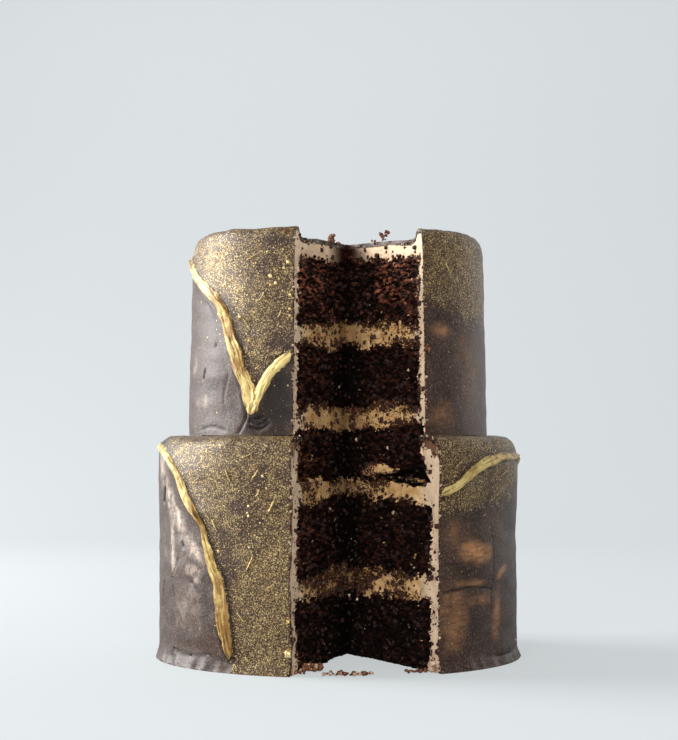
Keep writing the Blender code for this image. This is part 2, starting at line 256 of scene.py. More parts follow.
@dataclass(frozen=True)
class Layer:
    """One sponge or filling: the height of its top, and how that rises and leans, in millimetres."""

    name: str
    rim: float
    rise: float
    lean: float
    even: bool = False

    @property
    def is_sponge(self) -> bool:
        """Whether this is a sponge and not a filling."""
        return self.name.startswith("sponge")

    @property
    def is_narrow(self) -> bool:
        """Whether this layer belongs to the upper tier's width."""
        return self.name in ("sponge_3", "filling_3", "sponge_4", "filling_4", "sponge_5")

    @property
    def tier(self) -> Tier:
        """The tier whose cuts this layer follows."""
        return CAKE.tier(self.is_narrow)

    @property
    def slot(self) -> str:
        """The record's material slot of this layer."""
        return "sponge" if self.is_sponge else "buttercream"

    @property
    def radius(self) -> float:
        """The radius of this layer's top, in metres."""
        return (CAKE.narrow_radius if self.is_narrow else CAKE.wide_radius) * MM

    @property
    def centre_x(self) -> float:
        """Where this layer's middle stands, in metres."""
        return 0.0 if self.is_narrow else CAKE.wide_centre_x * MM

    def top(self, x: Array, y: Array, share: Array) -> Array:
        """The height of this layer's top.

        Args:
            x: plan positions in metres.
            y: plan positions in metres.
            share: how far out each point lies, from 0 at the slice's point to 1 at the rim.

        Returns:
            The heights in metres.
        """
        height = self.rim + self.rise * (1.0 - share) + self.lean * x / (CAKE.narrow_radius * MM)
        height = height * MM * np.ones_like(x)
        if self.even:
            return height
        level = np.full_like(x, self.rim * MM * 5.0)
        return height + 1.1 * MM * wander(np.column_stack([x, y, level]), 21.0 * MM)


LAYERS = (
    Layer("sponge_1", 30.2, 0, 0),
    Layer("filling_1", 39.4, 3.4, 1.6),
    Layer("sponge_2", 70.6, 3.8, 0),
    Layer("filling_2", 81.3, 0, 0, even=True),
    Layer("sponge_3", 105.6, -1.6, 3.6),
    Layer("filling_3", 113.8, 1.8, 3),
    Layer("sponge_4", 140.8, 2.2, 1.2),
    Layer("filling_4", 149.8, 4.4, 0.6),
    Layer("sponge_5", 178.4, 5.8, 0, even=True),
)


def inside(outline: tuple, across: Array, up: Array) -> Array:
    """How far inside a closed outline points lie, in the outline's units, and 0 outside it.

    Args:
        outline: the outline's corners.
        across: points' positions.
        up: their heights.

    Returns:
        The depths.
    """
    nearest = np.full_like(across, 1e3)
    within = np.zeros(len(across), dtype=bool)
    for (x0, z0), (x1, z1) in zip(outline, outline[1:] + outline[:1]):
        share = ((across - x0) * (x1 - x0) + (up - z0) * (z1 - z0)) / ((x1 - x0) ** 2 + (z1 - z0) ** 2)
        share = np.clip(share, 0.0, 1.0)
        nearest = np.minimum(nearest, np.hypot(across - x0 - share * (x1 - x0), up - z0 - share * (z1 - z0)))
        crosses = (z0 > up) != (z1 > up)
        within ^= crosses & (across < x0 + (up - z0) / (z1 - z0 if z1 != z0 else 1.0) * (x1 - x0))
    return np.where(within, nearest, 0.0)


@dataclass(frozen=True)
class Slot:
    """The slot torn under a sponge on one cut, with a flake above it, a flap of crumb inside and a painted
    highlight along the flap.

    Outlines are distances and heights in millimetres.
    """

    side: Side = Side.RIGHT
    hole: tuple = ((27, 84), (36, 84.2), (47, 86.6), (58, 88), (70.8, 87.4), (71.5, 82),
                   (65, 78.8), (58, 79.2), (47, 80.3), (35.6, 81.1), (28.6, 81.9))
    flake: tuple = ((13.6, 83.8), (16.9, 87.4), (22.8, 89.6), (35.6, 88.8), (46.5, 86.7), (41.1, 84.8),
                    (33.6, 83.9), (27.8, 84.4), (23.8, 83), (16.9, 82.9))
    flap: tuple = ((33, 83.9), (47, 82.8), (58, 82.1), (67.5, 81.4), (67, 79.6), (58, 80),
                   (47, 81), (34, 82.2))
    # Painted highlight: a thin line along the flap, painted as clean cream without crumbs.
    painted_gleam: tuple = ((33.6, 84.1), (47, 83), (58, 82.3), (67, 81.7), (67, 80.9), (58, 81.4),
                    (47, 82), (33.6, 83.1))
    depth: float = 3.6
    lift: float = 1.9

    def share(self, outline: tuple, soft: float, distance: Array, height: Array) -> Array:
        """How much places belong to one of the outlines, from 0 to 1.

        Args:
            outline: the outline's corners.
            soft: how far inside the share reaches 1, in millimetres.
            distance: distances from the slice's point, in metres.
            height: heights in metres.

        Returns:
            The share of each place.
        """
        places = np.column_stack([distance * 0.6, height, height * 0.0])
        ragged = rough(places, 2.4 * MM, 3)
        return smooth(0.0, soft, inside(outline, distance / MM + 2.2 * ragged, height / MM + 0.9 * ragged))


SLOT = Slot()


@dataclass
class CutFace:
    """One cut through the whole cake: where crumb and cream lie on it, and its relief.

    A place on it is a distance from the slice's point and a height, both in metres.
    """

    side: Side
    distances: Array = field(init=False)
    tops: dict = field(init=False)

    def __post_init__(self) -> None:
        """Works out the line of each layer's top along the cut."""
        self.distances = np.arange(0.0, 90.0 * MM, 0.5 * MM)
        self.tops = {}
        for layer in LAYERS:
            bearing = layer.tier.bearing(self.side)
            far = CAKE.reach(bearing, layer.radius, layer.centre_x)
            x, y = CAKE.plan(bearing, self.distances)
            self.tops[layer.name] = layer.top(x, y, np.minimum(self.distances / far, 1.0))

    def stand(self, tier: Tier, distance: Array, height: Array, stray: Array) -> Array:
        """Corners of the cut.

        Args:
            tier: the tier whose cut it is.
            distance: distances from the slice's point, in metres.
            height: heights in metres.
            stray: how far each corner stands into the missing slice, in metres.

        Returns:
            The corners, one to a row.
        """
        bearing = tier.bearing(self.side)
        x, y = CAKE.plan(bearing, distance)
        out = -stray if self.side is Side.RIGHT else stray
        return np.column_stack([x + math.cos(bearing) * out, y + math.sin(bearing) * out, height])

    def top_line(self, name: str | None, distance: Array) -> Array:
        """The height of a layer's top along the cut, or the foot's for no layer.

        Args:
            name: the layer's name.
            distance: distances from the slice's point, in metres.

        Returns:
            The heights in metres.
        """
        if name is None:
            return np.zeros_like(distance)
        return np.interp(distance, self.distances, self.tops[name])

    def sponge_width(self, layer: Layer, height: Array) -> Array:
        """How far a sponge reaches along the cut at heights.

        Args:
            layer: the sponge.
            height: heights in metres.

        Returns:
            The distances in metres from the slice's point.
        """
        radius = np.full_like(height, layer.radius)
        if layer.name == "sponge_3":
            foot = LAYERS[3].rim
            tuck = np.clip((height / MM - foot) / (CAKE.sunk_shoulder - foot), 0.0, 1.0)
            radius = (CAKE.sunk_foot_radius + (CAKE.narrow_radius - CAKE.sunk_foot_radius) * tuck) * MM
        return CAKE.reach(layer.tier.bearing(self.side), radius, layer.centre_x)

    def cream_margin(self, distance: Array, height: Array) -> Array:
        """How deep places lie in the cream.

        Args:
            distance: distances from the slice's point, in metres.
            height: heights in metres.

        Returns:
            The distance in millimetres to the nearest sponge, negative inside one.
        """
        margin = np.full_like(distance, 1e3)
        for below, layer in zip((None,) + LAYERS, LAYERS):
            if not layer.is_sponge:
                continue
            low = self.top_line(below.name, distance) if below else np.full_like(distance, -1.0)
            inset = 0.9 - (3.4 * smooth(80.0 * MM, 86.0 * MM, height) if layer.name == "sponge_3" else 0.0)
            out = distance - self.sponge_width(layer, height) + inset * MM
            up = np.maximum(low - height, height - self.top_line(layer.name, distance))
            outside = np.hypot(np.maximum(out, 0.0), np.maximum(up, 0.0))
            margin = np.minimum(margin, outside + np.minimum(np.maximum(out, up), 0.0))
        return margin / MM

    @property
    def drawn_out(self) -> float:
        """The factor on distances that makes lumps broader along the cut than they are tall."""
        return 0.62 if self.side is Side.RIGHT else 0.50

    def places(self, distance: Array, height: Array, squeeze: float = 1.0) -> Array:
        """Noise positions of places on the cut, with heights squeezed by a factor."""
        apart = np.full_like(distance, 0.31 if self.side is Side.RIGHT else 0.93)
        return np.column_stack([distance * self.drawn_out, apart, height * squeeze])

    def creaminess(self, distance: Array, height: Array) -> Array:
        """How much of each place is cream and not crumb.

        Crumb bulges into the cream in rounded lumps, and the sponge holds a few flecks of cream.

        Args:
            distance: distances from the slice's point, in metres.
            height: heights in metres.

        Returns:
            0 for crumb to 1 for cream.
        """
        margin = self.cream_margin(distance, height)
        places = self.places(distance, height)
        calm = np.interp(distance / MM, (0.0, 66.0, 74.0, 90.0), (1.0, 1.0, 0.45, 0.45))
        bites = 2.3 * calm * rough(places * np.array([1.0, 1.0, 0.8]), 9.0 * MM, 2)
        lumps = 2.2 * (clumps(places + 0.37, 2.9 * MM) - 0.45)
        hanging = 2.2 * calm * rough(self.places(distance, height, 0.22) + 0.57, 2.6 * MM, 2)
        hanging *= smooth(50.0 * MM, 40.0 * MM, height)
        ragged = margin + bites + hanging - lumps + 1.5 * rough(places + 0.19, 1.7 * MM, 2)
        cream = smooth(-0.35, 0.35, ragged)
        flecks = rough(places + 0.71, 2.0 * MM, 2)
        clusters = wander(places + 0.53, 15.0 * MM)
        shows = smooth(0.70, 0.84, flecks + 0.30 * clusters) * smooth(-0.5, -1.2, margin)
        cream = np.maximum(cream, 0.7 * shows)
        if self.side is SLOT.side:
            hole, flake = (SLOT.share(outline, 0.7, distance, height) for outline in (SLOT.hole, SLOT.flake))
            # The painted highlight along the flap shows as half cream.
            painted_gleam = SLOT.share(SLOT.painted_gleam, 0.15, distance, height)
            cream = np.maximum(np.maximum(cream * (1.0 - hole), flake), 0.5 * painted_gleam)
        return cream

    def past_wall(self, distance: Array, height: Array) -> Array:
        """How far places lie beyond the line where the wall's cream begins, in metres."""
        return distance - np.where(height > CAKE.ledge * MM, 61.0, 70.5) * MM

    def crumb_cover(self, distance: Array, height: Array) -> Array:
        """How thickly loose crumb lies over the cream, from 0 to 1.

        It is thick beside the sponges, thinner in the fillings' middles and sparse on the walls.

        Args:
            distance: distances from the slice's point, in metres.
            height: heights in metres.

        Returns:
            The share of each place that crumbs cover.
        """
        margin = self.cream_margin(distance, height)
        cloud = wander(self.places(distance, height) + 0.83, 6.5 * MM)
        thick = np.interp(margin, (0.0, 1.5, 3.5, 6.0), (0.90, 0.70, 0.50, 0.34))
        thick = thick * (1.07 if self.side is Side.RIGHT else 0.92)
        low = smooth(50.0 * MM, 42.0 * MM, height) * smooth(62.0 * MM, 50.0 * MM, distance)
        thick = thick + 0.42 * low
        calm = np.maximum(smooth(*LID, height), smooth(0.0, 2.5 * MM, self.past_wall(distance, height)))
        calm = calm * np.where(height > CAKE.ledge * MM, 0.62, 0.44)
        made = np.clip(thick * (1.0 + 0.7 * cloud) * (1.0 - calm), 0.02, 0.95)
        if self.side is SLOT.side:
            clean = smooth(34.0 * MM, 44.0 * MM, distance) * smooth(73.5 * MM, 76.5 * MM, height)
            made = made * (1.0 - 0.8 * clean * smooth(83.0 * MM, 81.0 * MM, height))
            flake = SLOT.share(SLOT.flake, 0.4, distance, height)
            made = made * (1.0 - flake) + flake * (0.25 + 0.6 * smooth(31.0 * MM, 24.0 * MM, distance))
            # The painted highlight line carries no crumbs.
            made = made * (1.0 - SLOT.share(SLOT.painted_gleam, 0.15, distance, height))
        return made

    def pallor(self, distance: Array, height: Array) -> Array:
        """How much of each place's cream is the paler kind of the walls and the lid, from 0 to 1."""
        return np.maximum(smooth(*LID, height), smooth(-9.0 * MM, 0.0, self.past_wall(distance, height)))

    def sway(self, distance: Array, height: Array) -> Array:
        """How far the whole cut bows into the missing slice, in millimetres.

        Args:
            distance: distances from the slice's point, in metres.
            height: heights in metres.

        Returns:
            One value for each place.
        """
        apart = np.full_like(distance, 0.3 if self.side is Side.RIGHT else 0.9)
        fade = 0.7 * np.minimum(1.0, distance / (12.0 * MM))
        return fade * wander(np.column_stack([distance, apart, height]), 30.0 * MM)

    def edge_stray(self, distance: Array, height: Array) -> Array:
        """How far the coat's knife edge strays into the missing slice, in metres.

        Args:
            distance: distances from the slice's point, in metres.
            height: heights in metres.

        Returns:
            One value for each place.
        """
        places = self.places(distance, height)
        fine = 0.35 * rough(places, 5.0 * MM, 3) + 0.25 * rough(places + 0.2, 1.6 * MM, 2)
        return (self.sway(distance, height) + fine) * MM

    def relief(self, distance: Array, height: Array, cream: Array) -> Array:
        """How far the torn face stands out into the missing slice.

        Args:
            distance: distances from the slice's point, in metres.
            height: heights in metres.
            cream: how much of each place is cream.

        Returns:
            The relief in metres.
        """
        places = self.places(distance, height)
        crag = 0.9 * wander(places, 6.5 * MM)
        torn = 1.5 * (clumps(places, 2.9 * MM) - 0.6)
        torn += 0.9 * (clumps(places + 0.5, 1.4 * MM) - 0.5)
        torn += 0.8 * rough(places + 0.11, 5.0 * MM, 2)
        smear = 0.28 * rough(self.places(distance, height, 0.5), 3.0 * MM, 2) - 0.15
        near = np.minimum(1.0, distance / (5.0 * MM))
        made = self.sway(distance, height)
        made = made + near * (crag * (1.0 - 0.55 * cream) + torn * (1.0 - cream) + smear * cream)
        if self.side is SLOT.side:
            made = made - SLOT.depth * SLOT.share(SLOT.hole, 1.2, distance, height)
            made = made + SLOT.lift * SLOT.share(SLOT.flake, 1.0, distance, height)
            made = made + SLOT.lift * SLOT.share(SLOT.flap, 0.5, distance, height)
        return made * MM


@dataclass
class Sheet:
    """Corners, faces and per-corner values that are gathered into one piece's mesh."""

    corners: list = field(default_factory=list)
    faces: list = field(default_factory=list)
    values: dict = field(default_factory=dict)
    count: int = 0

    def add(self, corners: Array, **values: Array | float) -> Array:
        """Adds corners with their values.

        Args:
            corners: an array of positions, one to a row.
            **values: a number, or one for each corner, by the value's name.

        Returns:
            The new corners' indices.
        """
        index = np.arange(self.count, self.count + len(corners))
        self.corners.append(corners)
        for name in set(self.values) | set(values):
            past = self.values.setdefault(name, [np.zeros(self.count)] if self.count else [])
            past.append(np.broadcast_to(values.get(name, 0.0), len(corners)).astype(float))
        self.count += len(corners)
        return index

    def weave(self, grid: Array, flip: bool = False) -> None:
        """Adds the quads of a grid of corner indices."""
        quads = np.stack([grid[:-1, :-1], grid[1:, :-1], grid[1:, 1:], grid[:-1, 1:]], -1).reshape(-1, 4)
        self.faces.extend(map(tuple, (quads[:, ::-1] if flip else quads).tolist()))

    def spread(self, shape: tuple, corners: Array, flip: bool = False, **values: object) -> Array:
        """Adds a grid of corners and its quads.

        Args:
            shape: how many columns and rows it has.
            corners: its corners, one to a row.
            flip: whether its faces are turned round.
            **values: the corners' values by name.

        Returns:
            The corners' indices, in that shape.
        """
        index = self.add(corners, **values).reshape(shape)
        self.weave(index, flip)
        return index

    def sweep(self, line: Array, every: int, turns: Array, flip: bool = False, **values: float) -> None:
        """Adds a coarse hidden skin.

        Args:
            line: its radii and heights in metres, one pair to a row.
            every: which of the line's points are used.
            turns: its bearings in radians.
            flip: whether its faces are turned round.
            **values: its values by name.
        """
        coarse = np.vstack([line[::every], line[-1:]])
        corners = []
        for turn in turns:
            x, y = CAKE.plan(turn, CAKE.reach(turn, coarse[:, 0]))
            corners.append(np.column_stack([x, y, coarse[:, 1]]))
        self.spread((len(turns), -1), np.vstack(corners), flip, **values)

    def mesh(self, name: str) -> Mesh:
        """The gathered corners and faces as a mesh that carries the values.

        Args:
            name: its name.

        Returns:
            The mesh.
        """
        mesh = bpy.data.meshes.new(name)
        mesh.from_pydata(np.vstack(self.corners).tolist(), [], self.faces)
        for key, parts in self.values.items():
            layer = mesh.attributes.new(key, "FLOAT", "POINT")
            layer.data.foreach_set("value", np.concatenate(parts).astype(np.float32))
        return mesh

    def build(self, name: str, material: Material, sharp: float = 40.0) -> Piece:
        """Makes the piece, welded along the seams between its grids.

        Args:
            name: the piece's name.
            material: its finish.
            sharp: the angle in degrees over which an edge is shaded sharp.

        Returns:
            The new object, at the origin.
        """
        mesh = self.mesh(name)
        work = bmesh.new()
        work.from_mesh(mesh)
        bmesh.ops.remove_doubles(work, verts=work.verts, dist=0.004 * MM)
        bmesh.ops.recalc_face_normals(work, faces=work.faces)
        if work.calc_volume(signed=True) < 0:
            bmesh.ops.reverse_faces(work, faces=work.faces)
        work.to_mesh(mesh)
        work.free()
        mesh.shade_smooth()
        mesh.set_sharp_from_angle(angle=math.radians(sharp))
        mesh.materials.append(material)
        return stand_up(name, mesh)


def stand_up(name: str, mesh: Mesh) -> Piece:
    """Puts a mesh into the scene as an object at the origin.

    Args:
        name: its name.
        mesh: the mesh.

    Returns:
        The object.
    """
    made = bpy.data.objects.new(name, mesh)
    bpy.context.scene.collection.objects.link(made)
    return made


def settle(piece: Piece, slot: str, *nodes: str) -> Piece:
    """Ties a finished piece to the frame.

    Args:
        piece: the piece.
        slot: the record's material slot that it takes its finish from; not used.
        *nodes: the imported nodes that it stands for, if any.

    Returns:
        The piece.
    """
    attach(piece, BODY)
    if nodes:
        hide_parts(*nodes)
    LOG.info("%s: %d faces", piece.name, len(piece.data.polygons))
    return piece


@dataclass
class CakeLayer:
    """A sponge or filling that runs through the cake, with finely torn cuts."""

    layer: Layer
    below: Layer | None
    faces: dict
    material: Material
    strewn: Sheet
    spacing: float = 0.5 * MM
    around: int = 40

    def cut_grid(self, sheet: Sheet, side: Side) -> Array:
        """Adds the grid of one cut.

        Args:
            sheet: what the corners are added to.
            side: which cut.

        Returns:
            The corner indices, columns out from the slice's point by rows up.
        """
        face: CutFace = self.faces[side]
        layer = self.layer
        bearing = layer.tier.bearing(side)
        far = CAKE.reach(bearing, layer.radius, layer.centre_x)
        columns = round(far / self.spacing)
        middle = np.array([far / 2])
        below = self.below.name if self.below else None
        low = face.top_line(below, middle)[0]
        rows = max(6, round((face.top_line(layer.name, middle)[0] - low) / self.spacing))
        share, up = np.meshgrid(np.arange(columns + 1) / columns, np.arange(rows + 1) / rows, indexing="ij")
        share, up = share.ravel(), up.ravel()
        distance = share * far
        low = face.top_line(below, distance)
        height = low + (face.top_line(layer.name, distance) - low) * up
        if layer.name == "sponge_3":
            distance = share * face.sponge_width(layer, height)
        cream = face.creaminess(distance, height)
        stray = face.relief(distance, height, cream)
        corners = face.stand(layer.tier, distance, height, stray)
        corners[share == 0.0, :2] = CAKE.point_x * MM, 0.0
        crumbs = face.crumb_cover(distance, height)
        clear = smooth(*FLOOR_CLEARANCE, height)
        shape = (columns + 1, rows + 1)
        self.strewn.spread(shape, corners, on_cream=cream * crumbs * clear, on_sponge=(1.0 - cream) * clear)
        return sheet.spread(
            shape, corners, side is Side.LEFT, cream=cream, crumbs=crumbs, stand=stray / MM,
            run=distance * face.drawn_out, wall=face.pallor(distance, height),
        )

    def build(self) -> Piece:
        """Makes the layer: two cuts, the rim, the top and the foot."""
        sheet = Sheet()
        right = self.cut_grid(sheet, Side.RIGHT)
        left = self.cut_grid(sheet, Side.LEFT)
        layer = self.layer
        tier = layer.tier
        spokes = np.linspace(tier.bearing(Side.RIGHT), tier.bearing(Side.LEFT), self.around + 1)[1:-1]
        rings = {"foot": [], "shoulder": [], "top": []}
        for spoke in spokes:
            foot_radius = CAKE.sunk_foot_radius * MM if layer.name == "sponge_3" else layer.radius
            for key, radius in (("foot", foot_radius), ("shoulder", layer.radius), ("top", layer.radius)):
                x, y = CAKE.plan(spoke, CAKE.reach(spoke, np.array([radius]), layer.centre_x))
                if key == "top":
                    height = layer.top(x, y, np.ones(1))
                elif key == "foot":
                    height = self.below.top(x, y, np.ones(1)) if self.below else np.zeros(1)
                else:
                    height = np.full(1, CAKE.sunk_shoulder * MM)
                rings[key].append([x[0], y[0], height[0]])
        keys = ("foot", "shoulder", "top") if layer.name == "sponge_3" else ("foot", "top")
        filled = 0.0 if layer.is_sponge else 1.0
        index = {key: sheet.add(np.array(rings[key]), cream=filled).tolist() for key in keys}
        for low, high in zip(keys, keys[1:]):
            sheet.weave(np.array([index[low], index[high]]).T)
        for edge, place in ((right[-1], 0), (left[-1], -1)):
            ladder = [index[key][place] for key in reversed(keys)]
            sheet.faces.append(tuple(edge.tolist() + ladder))
        for key, row in (("foot", 0), ("top", -1)):
            loop = right[:, row].tolist() + index[key] + left[:0:-1, row].tolist()
            sheet.faces.append(tuple(loop))
        return settle(sheet.build(layer.name + "_cut", self.material), layer.slot, layer.name)


def nearest_on(line: Array, points: Array) -> Array:
    """For each point along one line, the nearest place on another that never runs back.

    Args:
        line: the other line's corners, one to a row.
        points: the points, in order.

    Returns:
        The places on the line, one to a row.
    """
    lengths = lengths_along(line)
    fine = np.arange(0.0, lengths[-1], 0.1 * MM)
    dense = np.column_stack([np.interp(fine, lengths, line[:, k]) for k in (0, 1)])
    dense = np.vstack([dense, line[-1:]])
    gap = ((points[:, None, :] - dense[None, :, :]) ** 2).sum(-1)
    index = np.maximum.accumulate(gap.argmin(1))
    index[0], index[-1] = 0, len(dense) - 1
    return dense[index]


@dataclass
class CutStrip:
    """The cut end of a thin coat, between its outer and its inner line on one cut."""

    face: CutFace
    tier: Tier
    strewn: Sheet

    def add(self, sheet: Sheet, outer: Array, inner: Array, layers: int, is_cream: bool) -> None:
        """Adds the strip to a sheet.

        Args:
            sheet: what the corners are added to.
            outer: the outer line as distances from the slice's point and heights.
            inner: the inner line, point for point.
            layers: how many quads lie between the two lines.
            is_cream: whether crumbs and streaks show on it.
        """
        share = (np.arange(layers + 1) / layers)[None, :, None]
        grid = outer[:, None, :] * (1.0 - share) + inner[:, None, :] * share
        distance, height = grid.reshape(-1, 2).T
        if is_cream:
            cream = self.face.creaminess(distance, height)
            crumbs = self.face.crumb_cover(distance, height)
            stray = self.face.relief(distance, height, cream)
        else:
            cream = crumbs = np.zeros_like(distance)
            stray = self.face.edge_stray(distance, height)
        corners = self.face.stand(self.tier, distance, height, stray)
        off = np.hypot(*(grid - outer[:, None, :]).reshape(-1, 2).T) / MM
        shoulder = 0.70 * smooth(89.5 * MM, 94.0 * MM, height) * smooth(7.5, 5.0, off)
        smear = 0.62 * smooth(3.6, 2.0, off) if self.face.side is Side.LEFT else 0.42 * smooth(2.4, 0.4, off)
        rind = np.maximum(shoulder, smear) if self.tier is CAKE.lower else 0.0
        sheet.spread(
            grid.shape[:2], corners, cream=cream, crumbs=crumbs, stand=stray / MM, rind=rind,
            run=distance * self.face.drawn_out, wall=self.face.pallor(distance, height),
        )
        on_wall = 0.0 if is_cream else 1.0 - 0.93 * smooth(186.0 * MM, 188.0 * MM, height)
        clear = smooth(*FLOOR_CLEARANCE, height)
        self.strewn.spread(grid.shape[:2], corners, on_cream=cream * crumbs * clear, on_edge=on_wall * clear)


@dataclass
class CreamShell:
    """The buttercream round a tier's layers, seen only where it is cut."""

    name: str
    tier: Tier
    outer: Array
    inner: dict
    faces: dict
    material: Material
    strewn: Sheet
    spacing: float = 0.5 * MM
    around: int = 60

    def build(self) -> Piece:
        """Makes the shell: the cut ends finely, and the hidden outer skin coarsely."""
        sheet = Sheet()
        for side in Side:
            reach = CAKE.reach(self.tier.bearing(side), self.outer[:, 0])
            outer = np.column_stack([reach, self.outer[:, 1]])
            inner = nearest_on(self.inner[side], outer)
            width = np.hypot(*(outer - inner).T).max()
            layers = max(4, round(width / self.spacing))
            strip = CutStrip(self.faces[side], self.tier, self.strewn)
            strip.add(sheet, outer, inner, layers, is_cream=True)
        spokes = np.linspace(self.tier.bearing(Side.RIGHT), self.tier.bearing(Side.LEFT), self.around + 1)
        sheet.sweep(self.outer, 6, spokes, cream=1.0)
        return settle(sheet.build(self.name + "_cut", self.material), "buttercream", self.name)


@dataclass(frozen=True)
class Ridge:
    """A gilded ridge's route: bearing in degrees, height and width in millimetres at each stop.

    Tones are how pale the leaf is at shares of the length, and the last field is how dark the painted shadow
    along its far side is.
    """

    name: str
    is_upper: bool
    stops: tuple
    tones: tuple = ((0.0, 0.4), (0.4, 0.7), (0.6, 0.1), (1.0, 0.5))
    far_side_shade: float = 0.6

    @property
    def tier(self) -> Tier:
        """The tier that it runs over."""
        return CAKE.tier(self.is_upper)


RIDGES = (
    Ridge("gilt_upper_left", True, (
        (-114, 186, 2.4), (-94, 184.5, 3.2), (-80, 180.2, 4), (-71, 174.4, 4.8), (-62, 168.9, 5),
        (-54, 163.4, 5.2), (-50, 159.3, 5), (-46.8, 154.6, 6.2), (-44.6, 149.6, 6), (-42.8, 144, 5.8),
        (-40.7, 138.4, 6.6), (-38, 130.8, 6.2), (-35.6, 125.6, 6.8), (-33.9, 120, 7.4), (-32.8, 115, 7.2),
        (-32.3, 110.8, 6.4),
    ), ((0, 0.3), (0.3, 0.45), (0.38, 0.8), (0.50, 0.9), (0.60, 0.35), (0.68, 0.15), (0.80, 0.3), (1, 0.75)),
        0.3),
    Ridge("gilt_upper_fork", True, (
        (-32.3, 111.2, 5.8), (-29.8, 119.2, 5.4), (-27.2, 125, 4.8), (-24.4, 129.5, 4.4),
        (-20.5, 133.6, 4.4), (-17, 137.2, 4.2),
    ), ((0, 0.7), (0.4, 1), (1, 0.9)), 0.85),
    Ridge("gilt_lower_left", False, (
        (-101, 95, 2.6), (-88, 97.2, 3.2), (-76, 96.4, 3.8), (-65, 91.6, 3.8), (-58.4, 86, 4.6),
        (-53.8, 77.4, 4.8), (-50.4, 71.3, 4.2), (-47.4, 66.6, 2.8), (-44.8, 62, 2.6), (-43.2, 56.1, 3.4),
        (-41.8, 50.4, 4.4), (-40, 44.6, 5), (-38.2, 40, 5.8), (-37.2, 33, 6), (-36.3, 25.2, 7),
        (-35.5, 18, 6.8), (-34.5, 10.7, 4.8), (-33.6, 6, 1.8),
    ), ((0, 0.4), (0.4, 0.7), (0.52, 0.75), (0.59, 0.05), (0.63, 0.1), (0.68, 0.6), (0.76, 0.5), (0.84, 0.12),
        (1, 0.15)), 0.9),
    Ridge("gilt_lower_right", False, (
        (31.6, 76.6, 3.6), (34.6, 78.4, 3.8), (37.6, 80.2, 3.4), (42, 84.2, 4.3), (47.4, 88.2, 4.4),
        (53, 90.6, 4), (60, 92.1, 3.6), (70, 92.5, 3.2), (84, 91.6, 3.4), (99, 87, 3.6), (112, 78, 4.4),
        (124, 66, 4.8), (134, 57, 3),
    ), ((0, 0.9), (0.1, 0.65), (0.3, 0.5), (0.5, 0.5), (1, 0.5)), 0.6),
    Ridge("gilt_upper_back", True, (
        (112, 184.5, 2.8), (121, 172, 4.4), (127, 157, 5.4), (140, 147, 4.8), (153, 141, 6),
        (160, 126, 5.2), (163, 108, 3),
    )),
    Ridge("gilt_lower_back", False, (
        (-168, 13, 3), (-165, 34, 5.4), (-158, 52, 4.8), (-147, 66, 5.8), (-140, 82, 5), (-132, 96, 3.2),
    )),
)


@dataclass(frozen=True)
class Patch:
    """A soft oval on the coat: where it lies, how far it reaches and how strong it is.

    Bearings are in degrees, and heights, reaches and the turn's arms are in millimetres.
    """

    mark: Mark
    is_upper: bool
    bearing: float
    height: float
    across: float
    up: float
    strength: float = 1.0
    lean: float = 0.0


@dataclass(frozen=True)
class Crease:
    """A fold or crack in the coat: its stops, and its width and depth in millimetres."""

    is_upper: bool
    stops: tuple
    width: float
    depth: float


# Where gold dust begins: bearing in degrees and height in millimetres, round each tier. Dust lies above.
UPPER_DUST_LINE = (
    (-180, 104), (-166, 106), (-150, 150), (-135, 178), (-122, 189), (-114, 187), (-94, 184.5),
    (-75, 178.8), (-60.5, 168.8), (-51, 161), (-46, 153.5), (-42.3, 144), (-39, 135), (-36, 127),
    (-33.4, 120), (-32, 114), (-30, 118), (-27.6, 124), (-24.4, 129.1), (-20.9, 133.8), (-14, 139),
    (30, 163), (50, 158), (75, 153), (95, 166), (112, 184.5), (121, 172), (127, 157), (140, 147),
    (153, 141), (160, 126), (163, 108), (180, 104),
)
LOWER_DUST_LINE = (
    (-180, -6), (-170, 6), (-168, 13), (-165, 34), (-158, 52), (-147, 66), (-140, 82), (-132, 97),
    (-116, 99), (-101, 95), (-88, 97.2), (-76, 96.8), (-60.8, 88.7), (-52, 77), (-45, 66), (-41.8, 55),
    (-39.6, 44.7), (-36.6, 38), (-35, 28), (-34.2, 17), (-33.1, 6), (-32, -8), (28, -8), (30, 69),
    (38.6, 69.5), (50, 70), (58, 72), (70, 77), (84, 85), (99, 86), (112, 78), (124, 66), (134, 57),
    (140, 40), (146, -6), (180, -6),
)

